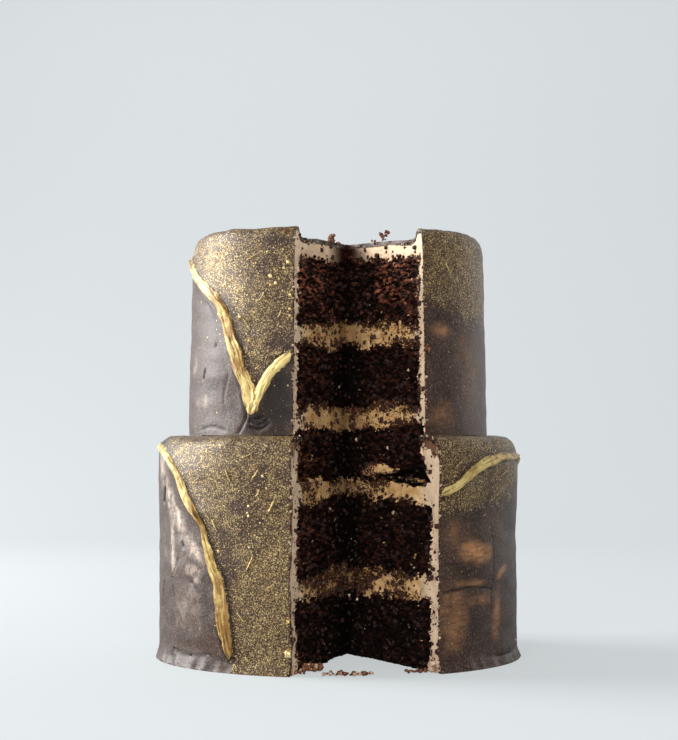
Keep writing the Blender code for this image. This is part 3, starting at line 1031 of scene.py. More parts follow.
PATCHES = tuple(Patch(mark, is_upper, *row) for mark, is_upper, rows in (
    (Mark.DUST, True, (
        (-56, 180, 15, 10, 1, -0.5), (-44, 168, 8, 7, 0.7, -0.6), (-31, 140, 5.2, 6.4, 0.6),
    )),
    (Mark.PALE, True, (
        (-44, 170, 7, 3.6, 0.6, -0.8), (-71, 133, 4, 5, 0.6), (-62, 117, 11, 3, 0.5, 0.1),
    )),
    (Mark.BARE, True, (
        (-24, 186, 9, 4, 0.95), (-45, 159, 4.5, 9, 0.9, -0.4), (-39, 143, 4, 14, 0.97, -0.45),
        (-22.5, 142, 7, 5, 0.95, 0.7), (-29, 176, 9, 4, 0.5), (-22, 160, 5, 12, 0.4),
    )),
    # Painted shade patches.
    (Mark.SHADE, True, (
        (-22, 117, 11, 16, 0.85), (-31.5, 106.5, 5, 3.5, 0.6), (-29.4, 124.2, 1.2, 4.2, 1, 0.45),
    )),
    (Mark.BRONZE, True, (
        (42.5, 148, 7, 3.6, 0.42, -0.1), (42, 110, 9, 7, 0.22), (60, 130, 12, 20, 0.16),
        (96, 128, 9, 5, 0.5, 0.2),
    )),
    (Mark.BARE, False, (
        (-24.5, 83, 5, 6, 0.85, 0.3), (-29, 70, 7.5, 7, 0.8, -0.2), (-35, 52, 5, 14, 0.8, -0.2),
        (-50, 88, 8, 5, 0.4, -0.4),
    )),
    (Mark.DUST, False, (
        (-20, 34, 10, 32, 0.5), (-40, 84, 8, 10, 0.35, -0.4),
    )),
    (Mark.PALE, False, (
        (-71, 86, 7, 10, 0.8, -0.3), (-65, 75, 6, 12, 0.75, -0.4), (-58, 64, 6, 11, 0.9, -0.7),
        (-51, 54, 6.5, 8, 0.8, -0.9), (-50, 43, 6, 3, 0.5, 0.2), (-47, 40.5, 3, 5, 0.5, 0.6),
        (-62, 52, 2.8, 14, 0.65, -0.2), (-53, 26, 12, 12, 0.22), (45, 80, 7, 4, 0.30, 0.8),
        (-112, 66, 10, 20, 0.4, 0.3), (-124, 40, 9, 14, 0.35, -0.3),
    )),
    (Mark.BRONZE, False, (
        (46, 51, 12, 5.4, 1, -0.18), (60.5, 41.5, 4.6, 3.2, 0.65, 1.1), (37, 24, 10, 18, 0.36),
        (48, 30, 13, 3, 0.32), (57.5, 22, 4.4, 14, 0.5), (43, 37.6, 13, 2.2, 0.4), (38, 58, 9, 8, 0.18),
        (92, 52, 12, 5, 0.6, 0.2), (108, 30, 7, 12, 0.5),
    )),
    # Painted shade patches.
    (Mark.SHADE, False, (
        (50, 74, 6, 9, 0.55, 0.5), (46, 20, 5.5, 9, 0.35), (40, 44, 8, 4, 0.3), (72, 62, 8, 8, 0.3),
    )),
) for row in rows)

CREASES = tuple(Crease(is_upper, *row) for is_upper, rows in (
    (True, (
        (((-34.5, 114.5), (-35, 110), (-37, 105.5), (-38.6, 102.8)), 0.8, 0.5),
        (((-33, 109.4), (-30.5, 108.6), (-28, 110)), 0.9, 0.8),
        (((-33.6, 107.6), (-30, 106.4), (-26.4, 108.6)), 0.9, 0.8),
        (((-33.6, 105.4), (-29.4, 104.4), (-25.6, 107)), 0.9, 0.7),
        (((-59.6, 161), (-54, 153), (-51, 146.3)), 0.6, 0.3), (((-60, 131), (-61.2, 127)), 0.8, 0.8),
        (((-52.2, 142), (-52.4, 140.4)), 0.6, 0.7), (((-44, 128), (-47, 118), (-45, 112)), 0.7, 0.25),
        (((-62, 104.4), (-54, 105.6), (-46, 103.8)), 0.8, 0.35),
        (((-35.2, 138), (-34.2, 143.3), (-30.5, 145.6), (-26.6, 144)), 0.5, -0.35),
        (((-47.5, 156), (-45.6, 150), (-43, 146)), 0.7, 0.5),
    )),
    (False, (
        (((-69.5, 78), (-71, 72)), 1.3, 1.1), (((-66, 72.5), (-65, 71)), 0.8, 0.9),
        (((-55.6, 54.6), (-54.8, 52.8)), 0.8, 0.9), (((-58, 47), (-62, 38), (-61, 30)), 0.7, 0.45),
        (((-70, 36), (-74, 24)), 0.8, 0.4), (((-72, 60), (-67, 48)), 0.8, 0.35),
        (((-50, 38), (-46, 33)), 0.8, 0.4), (((-37.6, 24), (-37, 18), (-36.4, 13)), 1, 0.9),
        (((-62, 7), (-52, 5.4), (-42, 6.6), (-36, 4.6)), 0.9, 0.5),
        (((54, 62), (55.4, 52), (54.6, 40), (53.5, 26)), 0.5, 0.25),
        (((33, 34.6), (44, 36), (54, 34.4)), 0.7, 0.5), (((34, 46.4), (42, 46.8), (50, 45)), 0.8, 0.3),
        (((52, 5), (66, 4.4), (84, 6)), 0.9, 0.5), (((-140, 30), (-150, 22), (-158, 24)), 1, 0.5),
    )),
) for row in rows)


@dataclass
class CoatField:
    """What lies where on a tier's chocolate: its relief and its marks."""

    is_upper: bool

    @property
    def tier(self) -> Tier:
        """The tier that it covers."""
        return CAKE.tier(self.is_upper)

    def flat(self, points: Array) -> tuple[Array, Array]:
        """Points laid out flat, as millimetres across and up."""
        return np.arctan2(points[:, 0], -points[:, 1]) * self.tier.unrolled, points[:, 2] / MM

    def off_line(self, across: Array, up: Array, route: Array, broad: float = 0.0) -> tuple:
        """How far places lie from a route.

        Args:
            across: places laid out flat, in millimetres.
            up: their heights in millimetres.
            route: the route's points and widths, laid out flat.
            broad: the share of the route's width that counts as part of it.

        Returns:
            The distances to the route, and on which side of it each place lies, as -1 or 1.
        """
        best = np.full(len(across), 1e9)
        side = np.ones(len(across))
        turn = 2 * math.pi * self.tier.unrolled
        for a, b in zip(route, route[1:]):
            dx, dz = b[0] - a[0], b[1] - a[1]
            px = (across - a[0] + turn / 2) % turn - turn / 2
            pz = up - a[1]
            t = np.clip((px * dx + pz * dz) / max(dx * dx + dz * dz, 1e-9), 0.0, 1.0)
            gap = np.hypot(px - t * dx, pz - t * dz) - 0.5 * broad * (a[2] + t * (b[2] - a[2]))
            nearer = gap < best
            best = np.where(nearer, gap, best)
            side = np.where(nearer, np.sign(dx * pz - dz * px), side)
        return best, side

    def patch(self, mark: Mark, across: Array, up: Array, fray: Array) -> Array:
        """How strongly patches of one kind lie on places.

        Args:
            mark: the kind of patch.
            across: places laid out flat, in millimetres.
            up: their heights in millimetres.
            fray: noise that breaks up the patches' edges.

        Returns:
            The strongest patch's strength at each place.
        """
        made = np.zeros(len(across))
        for spot in PATCHES:
            if spot.mark is not mark or spot.is_upper is not self.is_upper:
                continue
            z = up - spot.height
            x = across - math.radians(spot.bearing) * self.tier.unrolled - spot.lean * z
            off = np.hypot(x / spot.across, z / spot.up) + 0.38 * fray
            made = np.maximum(made, spot.strength * smooth(1.25, 0.15 if mark is Mark.BRONZE else 0.35, off))
        return made

    def dust(self, across: Array, up: Array, fray: Array) -> Array:
        """How thickly gold dust lies on places, from 0 to 1.

        Args:
            across: places laid out flat, in millimetres.
            up: their heights in millimetres.
            fray: noise that breaks up the edges.

        Returns:
            The share of each place.
        """
        line = UPPER_DUST_LINE if self.is_upper else LOWER_DUST_LINE
        bearings, heights = zip(*line)
        turned = np.degrees(across / self.tier.unrolled)
        edge = np.interp(turned, bearings, heights)
        soft = np.where(np.abs(across) < 95.0, 1.2, 5.0)
        soft = np.where((turned > 25.0) & (turned < 110.0), 5.5, soft)
        made = smooth(-1.0, 1.0, (up - edge) / soft + 1.3 * fray) * (0.80 + 0.25 * fray)
        made *= 1.0 - 0.85 * self.patch(Mark.BARE, across, up, fray)
        made += 0.35 * self.patch(Mark.DUST, across, up, fray)
        return np.clip(made, 0.0, 1.2)

    def creases(self, across: Array, up: Array) -> Array:
        """How deep folds and cracks cut into places, in millimetres.

        Args:
            across: places laid out flat, in millimetres.
            up: their heights in millimetres.

        Returns:
            The depths, negative for folds.
        """
        made = np.zeros(len(across))
        for crease in CREASES:
            if crease.is_upper is not self.is_upper:
                continue
            stops = tuple((*stop, 1.0) for stop in crease.stops)
            gap, _ = self.off_line(across, up, self.tier.flat_route(stops, 2.0))
            cut = crease.depth * np.exp(-((gap / crease.width) ** 2) * 1.6)
            made = np.where(np.abs(cut) > np.abs(made), cut, made)
        return made

    def beside_ridges(self, across: Array, up: Array) -> tuple[Array, Array]:
        """How the coat turns up towards the ridges, and the painted shadow beside them.

        Args:
            across: places laid out flat, in millimetres.
            up: their heights in millimetres.

        Returns:
            The lift in millimetres, and the darkness of the painted shadow from 0 to 1, which also dips the
            coat.
        """
        lift, dark = np.zeros(len(across)), np.zeros(len(across))
        for ridge in RIDGES:
            if ridge.is_upper is not self.is_upper:
                continue
            gap, side = self.off_line(across, up, self.tier.flat_route(ridge.stops, 3.0), 1.0)
            lift = np.maximum(lift, 0.8 * np.exp(-((np.maximum(gap + 1.5, 0.0) / 3.2) ** 2)))
            # Painted shadow in a groove along the ridge's far side, and a thin painted shadow along both
            # edges of the leaf.
            beyond = smooth(-0.9, -0.1, gap) * smooth(3.6, 0.6, gap)
            painted_edge_shadow = np.exp(-(((gap - 0.3) / 0.75) ** 2))
            painted_edge_shadow = painted_edge_shadow * (0.7 + 0.4 * np.sin(across * 0.37 + up * 0.21))
            dark = np.maximum(dark, np.where(side > 0, np.maximum(ridge.far_side_shade * beyond, 0.6 * painted_edge_shadow), painted_edge_shadow))
        return lift, dark

    def relief(self, points: Array) -> Array:
        """How far the coat's skin stands off its even outline, in metres.

        Args:
            points: places on the even outline, one to a row.

        Returns:
            The relief at each place.
        """
        across, up = self.flat(points)
        stretched = points * np.array([1.0, 1.0, 1.3])
        swell = 0.45 * wander(stretched, 34.0 * MM)
        drag = 0.16 * wander(points * np.array([1.0, 1.0, 3.2]), 19.0 * MM)
        lumps = 0.10 * rough(points, 6.0 * MM, 2)
        lift, dark = self.beside_ridges(across, up)
        made = swell + drag + lumps + lift - 0.5 * dark - self.creases(across, up)
        if not self.is_upper:
            foot = smooth(8.0, 0.5, up)
            puckers = wander(np.column_stack([across, up * 0.4, across * 0.0]) * MM, 5.5 * MM)
            made += foot * (0.7 * puckers + 0.1)
            rim = smooth(94.0, 99.0, up) * smooth(101.75, 101.2, up)
            made += 0.35 * rim * wander(points, 7.0 * MM)
        else:
            lip = smooth(186.0, 191.0, up) * smooth(58.0, 61.0, np.hypot(points[:, 0], points[:, 1]) / MM)
            made += 0.35 * lip * wander(points, 8.0 * MM)
        made *= smooth(-0.2, 0.6, up)
        return made * MM

    def marks(self, points: Array) -> dict:
        """The shading values of places on the coat.

        Args:
            points: places on the coat, one to a row.

        Returns:
            Arrays by value name: dust, pale (with painted highlight on raised folds), bronze, and shade
                (painted shade).
        """
        across, up = self.flat(points)
        fray = rough(points, 7.0 * MM, 4)
        streaks = rough(points * np.array([1.0, 1.0, 0.36]) + 0.2, 4.6 * MM, 3)
        dust = self.dust(across, up, fray)
        if self.is_upper:
            inner = smooth(63.0, 50.0, np.hypot(points[:, 0], points[:, 1]) / MM)
            dust *= 1.0 - 0.75 * inner
        pale = self.patch(Mark.PALE, across, up, fray) * (0.4 + 0.6 * smooth(-0.4, 0.4, streaks))
        bronze = self.patch(Mark.BRONZE, across, up, 0.6 * fray) * (0.75 + 0.5 * streaks)
        _, dark = self.beside_ridges(across, up)
        # Painted shade: the shade patches and the painted shadow beside the ridges.
        shade = np.maximum(self.patch(Mark.SHADE, across, up, fray), dark)
        folded = self.creases(across, up)
        # Painted shade in the creases, and painted highlight on the raised folds.
        shade = np.maximum(shade, np.clip(2.0 * folded, 0.0, 1.0))
        pale = np.maximum(pale, np.clip(-2.0 * folded, 0.0, 0.8))
        # Dust is thinned where the painted shadow beside the ridges lies.
        return {"dust": dust * (1.0 - 0.8 * dark), "pale": pale, "bronze": bronze, "shade": shade}


@dataclass
class ChocolateCoat:
    """The thin chocolate skin of one tier."""

    name: str
    is_upper: bool
    inner_line: Array
    faces: dict
    material: Material
    strewn: Sheet
    spacing: float = 0.85

    @property
    def tier(self) -> Tier:
        """The tier that it covers."""
        return CAKE.tier(self.is_upper)

    def build(self) -> Piece:
        """Makes the coat: its outer skin, its two cut edges and a coarse inner skin."""
        sheet = Sheet()
        lay = CoatField(self.is_upper)
        tier = self.tier
        line = smooth_route(tier.outside, self.spacing) * MM
        outward = outward_of(line)
        sweep = math.radians(tier.left_cut - tier.right_cut)
        count = round(sweep * line[:, 0].max() / (self.spacing * MM))
        spokes = np.linspace(tier.bearing(Side.RIGHT), tier.bearing(Side.LEFT), count + 1)
        spoke, station = np.meshgrid(spokes, np.arange(len(line)), indexing="ij")
        spoke, station = spoke.ravel(), station.ravel()
        x, y = CAKE.plan(spoke, CAKE.reach(spoke, line[station, 0]))
        even = np.column_stack([x, y, line[station, 1]])
        middle = line[station, 0] < 1e-6
        even[middle, :2] = CAKE.point_x * MM, 0.0
        radial = even[:, :2] / np.maximum(np.hypot(even[:, 0], even[:, 1]), 1e-6)[:, None]
        off = lay.relief(even)
        off[middle] = 0.0
        skin = even.copy()
        skin[:, :2] += radial * (outward[station, 0] * off)[:, None]
        skin[:, 2] += outward[station, 1] * off
        skin[:, 2] = np.clip(skin[:, 2], even[:, 2].min(), None)
        marks = lay.marks(even)
        grid = skin.reshape(len(spokes), len(line), 3)
        for side, row in ((Side.RIGHT, 0), (Side.LEFT, -1)):
            edge = grid[row]
            face: CutFace = self.faces[side]
            distance = np.hypot(edge[:, 0] - CAKE.point_x * MM, edge[:, 1])
            outer = np.column_stack([distance, edge[:, 2]])
            inner_reach = CAKE.reach(tier.bearing(side), self.inner_line[:, 0])
            inner = nearest_on(np.column_stack([inner_reach, self.inner_line[:, 1]]), outer)
            CutStrip(face, tier, self.strewn).add(sheet, outer, inner, 3, is_cream=False)
            edge[:] = face.stand(tier, distance, edge[:, 2], face.edge_stray(distance, edge[:, 2]))
        sheet.spread(grid.shape[:2], grid.reshape(-1, 3), **marks)
        sheet.sweep(self.inner_line, 5, np.linspace(spokes[0], spokes[-1], 61), flip=True)
        return settle(sheet.build(self.name + "_skin", self.material), "chocolate", self.name)


@dataclass(frozen=True)
class Leaf:
    """A pointed piece of leaf on a ridge: where it starts and ends as shares of the ridge's length.

    Its width is a factor on the ridge's, its offset and lift are millimetres, and its fold is a
    valley where hollow.
    """

    start: float
    end: float
    width: float
    offset: float
    lift: float
    fold: float
    hollow: bool = False
    blunt: bool = False


@dataclass
class GiltRibbon:
    """The gold leaf along a ridge: a creased strip with pointed pieces folded over it."""

    ridges: tuple
    material: Material
    across: int = 12

    def leaves(self, ridge: Ridge, length: float) -> list:
        """The strip and the pieces over it, for a ridge of a length in millimetres.

        Args:
            ridge: the ridge.
            length: its length in millimetres.

        Returns:
            The pieces, the strip first.
        """
        made = [Leaf(0.0, 1.0, 0.96, 0.0, 0.7, 0.35, blunt=True)]
        luck = np.random.default_rng(RIDGES.index(ridge) + 21)
        at = -4.0
        while at < length - 6.0:
            reach = luck.uniform(18.0, 40.0)
            start, end = max(at, 0.0) / length, min(at + reach, length) / length
            side = luck.choice((-1.0, 1.0))
            made.append(Leaf(
                start, end, luck.uniform(0.40, 0.75), side * luck.uniform(0.7, 1.5), luck.uniform(0.55, 1.0),
                side * luck.uniform(0.3, 0.8), hollow=luck.random() < 0.3,
            ))
            at += reach * luck.uniform(0.6, 0.9)
        return made

    def lay(self, sheet: Sheet, ridge: Ridge, leaf: Leaf, line: Array, length: Array) -> None:
        """Adds one closed piece of leaf.

        Args:
            sheet: what it is added to.
            ridge: the ridge that it lies on.
            leaf: its sizes.
            line: the whole ridge's route, laid out flat, in millimetres.
            length: the distance along the route to each of its points.
        """
        total = length[-1]
        steps = np.linspace(leaf.start, leaf.end, max(8, round((leaf.end - leaf.start) * total / 0.6)))
        route = np.column_stack([np.interp(steps * total, length, line[:, k]) for k in range(3)])
        out = outward_of(route[:, :2])
        t = (steps - leaf.start) / (leaf.end - leaf.start)
        if leaf.blunt:
            taper = np.clip(np.minimum(t, 1.0 - t) * total / 3.0, 0.0, 1.0) ** 0.5
        else:
            taper = np.sin(math.pi * np.clip(t, 0.0, 1.0)) ** 0.7
        taper = np.maximum(taper, 0.12)
        seed = 0.13 * leaf.start + 0.07 * ridge.stops[0][1] * MM + 0.3 * leaf.width
        station = np.column_stack([steps * total, steps * 0.0, steps * 0.0]) * MM + seed
        half = 0.5 * route[:, 2] * leaf.width * taper
        torn = [1.0 + 0.16 * wander(station + k, 7.0 * MM) + 0.20 * rough(station + k, 2.2 * MM, 3)
                for k in (0.0, 0.4)]
        share = np.linspace(-1.0, 1.0, self.across + 1)
        middle = leaf.offset * taper * route[:, 2] / 5.4 + 0.3 * wander(station + 0.8, 14.0 * MM)
        sides = np.where(share[None, :] < 0, (half * torn[0])[:, None], (half * torn[1])[:, None])
        offset = middle[:, None] + share[None, :] * sides
        flat_x = route[:, :1] + out[:, :1] * offset
        z = (route[:, 1:2] + out[:, 1:] * offset) * MM
        fold = (leaf.fold + 0.28 * wander(station + 0.6, 8.0 * MM))[:, None]
        slope = np.abs(share[None, :] - fold) / (1.0 + np.abs(fold))
        crest = slope if leaf.hollow else 1.0 - slope
        lift = leaf.lift * (1.0 + 0.25 * wander(station + 0.2, 11.0 * MM))[:, None]
        wrinkle_at = np.column_stack([
            np.repeat(steps * total, self.across + 1) * 0.3, offset.ravel(), np.zeros(offset.size),
        ]) * MM + seed
        wrinkle = rough(wrinkle_at, 1.1 * MM, 2).reshape(offset.shape)
        height = 0.3 + taper[:, None] * lift * crest + 0.16 * wrinkle
        angle = flat_x / ridge.tier.unrolled
        base = ridge.tier.wall_radius(z.ravel()).reshape(z.shape)
        skin = CoatField(ridge.is_upper).relief(round_about(angle, base, z)).reshape(z.shape)
        shares, tones = zip(*ridge.tones)
        pale_and_crest_highlight = np.repeat(np.interp(steps, shares, tones), self.across + 1)
        drift = 0.4 * wander(station + leaf.width, 9.0 * MM) + 0.7 * (0.75 - leaf.width)
        # Painted highlight on each fold's crest and painted shade in its valley.
        pale_and_crest_highlight = pale_and_crest_highlight + np.repeat(drift, self.across + 1) + 0.35 * (crest.ravel() - 0.5)
        grids = []
        for lower in (False, True):
            rise = np.minimum(height - 0.5, 0.1) if lower else np.maximum(height, 0.15)
            corners = round_about(angle, base + skin + rise * MM, z)
            grids.append(sheet.spread(
                z.shape, corners, lower, pale=pale_and_crest_highlight, along=wrinkle_at[:, 0], aside=wrinkle_at[:, 1]
            ))
        for a, b in zip(*((g[:, 0], g[-1], g[::-1, -1], g[0, ::-1]) for g in grids)):
            sheet.weave(np.stack([a, b]))

    def build(self, name: str) -> Piece:
        """Makes the leaf of one or more ridges as one piece that replaces a node.

        Args:
            name: the node's name.

        Returns:
            The piece.
        """
        sheet = Sheet()
        for ridge in self.ridges:
            line = ridge.tier.flat_route(ridge.stops, 0.7)
            length = lengths_along(line[:, :2])
            for leaf in self.leaves(ridge, length[-1]):
                self.lay(sheet, ridge, leaf, line, length)
        return settle(sheet.build(name + "_leaf", self.material, 32.0), "gilt", name)


def blob(name: str, seed: float, uneven: float = 0.38) -> Piece:
    """A lumpy ball of about unit radius, to be strewn.

    Args:
        name: its name.
        seed: which lumps it has.
        uneven: how lumpy it is.

    Returns:
        The shape.
    """
    work = bmesh.new()
    bmesh.ops.create_icosphere(work, subdivisions=2, radius=1.0)
    for corner in work.verts:
        corner.co *= 1.0 + uneven * noise.noise(corner.co * 1.3 + Vector((seed, 0.0, 0.0))) * 1.6
    mesh = bpy.data.meshes.new(name)
    work.to_mesh(mesh)
    work.free()
    mesh.shade_smooth()
    return stand_up(name, mesh)


def straw(name: str) -> Piece:
    """A thin bent rod of unit length and unit thickness, to be strewn.

    Args:
        name: its name.

    Returns:
        The shape.
    """
    rings, round_ = 6, 6
    sheet = Sheet()
    t, a = np.meshgrid(np.linspace(-0.5, 0.5, rings), np.arange(round_) / round_ * 2 * math.pi, indexing="ij")
    thin = 0.5 * np.sqrt(np.clip(1.0 - (2.0 * t) ** 4, 0.06, 1.0))
    bend = 1.6 * t * t
    corners = np.column_stack([t.ravel(), (np.cos(a) * thin).ravel(), (np.sin(a) * thin + bend).ravel()])
    grid = sheet.add(corners).reshape(rings, round_)
    sheet.weave(np.column_stack([grid, grid[:, :1]]))
    sheet.faces += [tuple(grid[0].tolist()), tuple(grid[-1, ::-1].tolist())]
    mesh = sheet.mesh(name)
    mesh.shade_smooth()
    return stand_up(name, mesh)


class Strewing:
    """Geometry Nodes trees that put copies of a shape on a carrier and make one mesh of them."""

    def __init__(self, name: str) -> None:
        """Starts an empty tree."""
        self.tree = bpy.data.node_groups.new(name, "GeometryNodeTree")
        self.tree.interface.new_socket("Geometry", in_out="OUTPUT", socket_type="NodeSocketGeometry")
        for label, kind in (("Geometry", "Geometry"), ("Shape", "Object"), ("Finish", "Material")):
            self.tree.interface.new_socket(label, in_out="INPUT", socket_type="NodeSocket" + kind)
        self.start = self.tree.nodes.new("NodeGroupInput")

    def node(self, kind: str, settings: dict | None = None, links: dict | None = None) -> Node:
        """Adds a node, sets its properties and feeds its inputs by name or number.

        Args:
            kind: the node's type.
            settings: the node's own properties.
            links: values or outputs for its inputs, by name or number.

        Returns:
            The node.
        """
        made = self.tree.nodes.new(kind)
        for key, value in (settings or {}).items():
            setattr(made, key, value)
        for key, value in (links or {}).items():
            if isinstance(value, Socket):
                self.tree.links.new(value, made.inputs[key])
            else:
                made.inputs[key].default_value = value
        return made

    def named(self, name: str, kind: str) -> Socket:
        """A value that the carrier's corners hold."""
        made = self.node("GeometryNodeInputNamedAttribute", {"data_type": kind}, {"Name": name})
        return made.outputs["Attribute"]

    def close(self, points: Socket, turn: Socket, size: Socket) -> None:
        """Puts the shape on points, makes it one mesh and gives it its finish.

        Args:
            points: where the copies go.
            turn: how each copy is turned.
            size: how large each copy is.
        """
        shape = self.node("GeometryNodeObjectInfo", None, {"Object": self.start.outputs["Shape"]})
        copies = self.node("GeometryNodeInstanceOnPoints", None, {
            "Points": points, "Instance": shape.outputs["Geometry"], "Rotation": turn, "Scale": size,
        })
        joined = self.node("GeometryNodeRealizeInstances", None, {"Geometry": copies.outputs["Instances"]})
        dressed = self.node("GeometryNodeSetMaterial", None, {
            "Geometry": joined.outputs["Geometry"], "Material": self.start.outputs["Finish"],
        })
        self.node("NodeGroupOutput", None, {0: dressed.outputs["Geometry"]})

    def on_faces(self, spread: str) -> "Strewing":
        """Finishes a tree that strews by the carrier's value of a name.

        Args:
            spread: the value's name.

        Returns:
            This tree.
        """
        for label in ("Density", "Seed", "Smallest", "Largest"):
            kind = "Int" if label == "Seed" else "Float"
            self.tree.interface.new_socket(label, in_out="INPUT", socket_type="NodeSocket" + kind)
        density = self.node("ShaderNodeMath", {"operation": "MULTIPLY"}, {
            0: self.named(spread, "FLOAT"), 1: self.start.outputs["Density"],
        })
        points = self.node("GeometryNodeDistributePointsOnFaces", None, {
            "Mesh": self.start.outputs["Geometry"], "Density": density.outputs[0],
            "Seed": self.start.outputs["Seed"],
        })
        turn = self.node("FunctionNodeRandomValue", {"data_type": "FLOAT_VECTOR"}, {
            1: (2 * math.pi,) * 3, "Seed": self.start.outputs["Seed"],
        })
        luck = self.node("FunctionNodeRandomValue", {"data_type": "FLOAT"}, {"Seed": 11})
        few = self.node("ShaderNodeMath", {"operation": "POWER"}, {0: luck.outputs[1], 1: 2.6})
        size = self.node("ShaderNodeMapRange", None, {
            "Value": few.outputs[0], "To Min": self.start.outputs["Smallest"],
            "To Max": self.start.outputs["Largest"],
        })
        spin = self.node("FunctionNodeEulerToRotation", None, {0: turn.outputs[0]})
        self.close(points.outputs["Points"], spin.outputs[0], size.outputs[0])
        return self

    def on_places(self) -> "Strewing":
        """Finishes a tree that puts the shape on each corner, by the corner's turn and size."""
        spin = self.node("FunctionNodeEulerToRotation", None, {0: self.named("turn", "FLOAT_VECTOR")})
        self.close(self.start.outputs["Geometry"], spin.outputs[0], self.named("size", "FLOAT_VECTOR"))
        return self

    def run(self, name: str, carrier: Mesh, **inputs: object) -> Piece:
        """Runs the tree on a carrier.

        Args:
            name: the piece's name.
            carrier: the mesh to strew on.
            **inputs: the tree's inputs by name.

        Returns:
            The piece, a plain mesh.
        """
        holder = stand_up(name + "_carrier", carrier)
        modifier = holder.modifiers.new("strewing", "NODES")
        modifier.node_group = self.tree
        for item in self.tree.interface.items_tree:
            if item.name in inputs and item.in_out == "INPUT":
                modifier[item.identifier] = inputs[item.name]
        graph = bpy.context.evaluated_depsgraph_get()
        mesh = bpy.data.meshes.new_from_object(holder.evaluated_get(graph))
        mesh.name = name
        bpy.data.objects.remove(holder)
        made = stand_up(name, mesh)
        for spent in list(mesh.attributes):
            if spent.name in ("on_cream", "on_sponge", "on_edge", "turn", "size"):
                mesh.attributes.remove(spent)
        return made


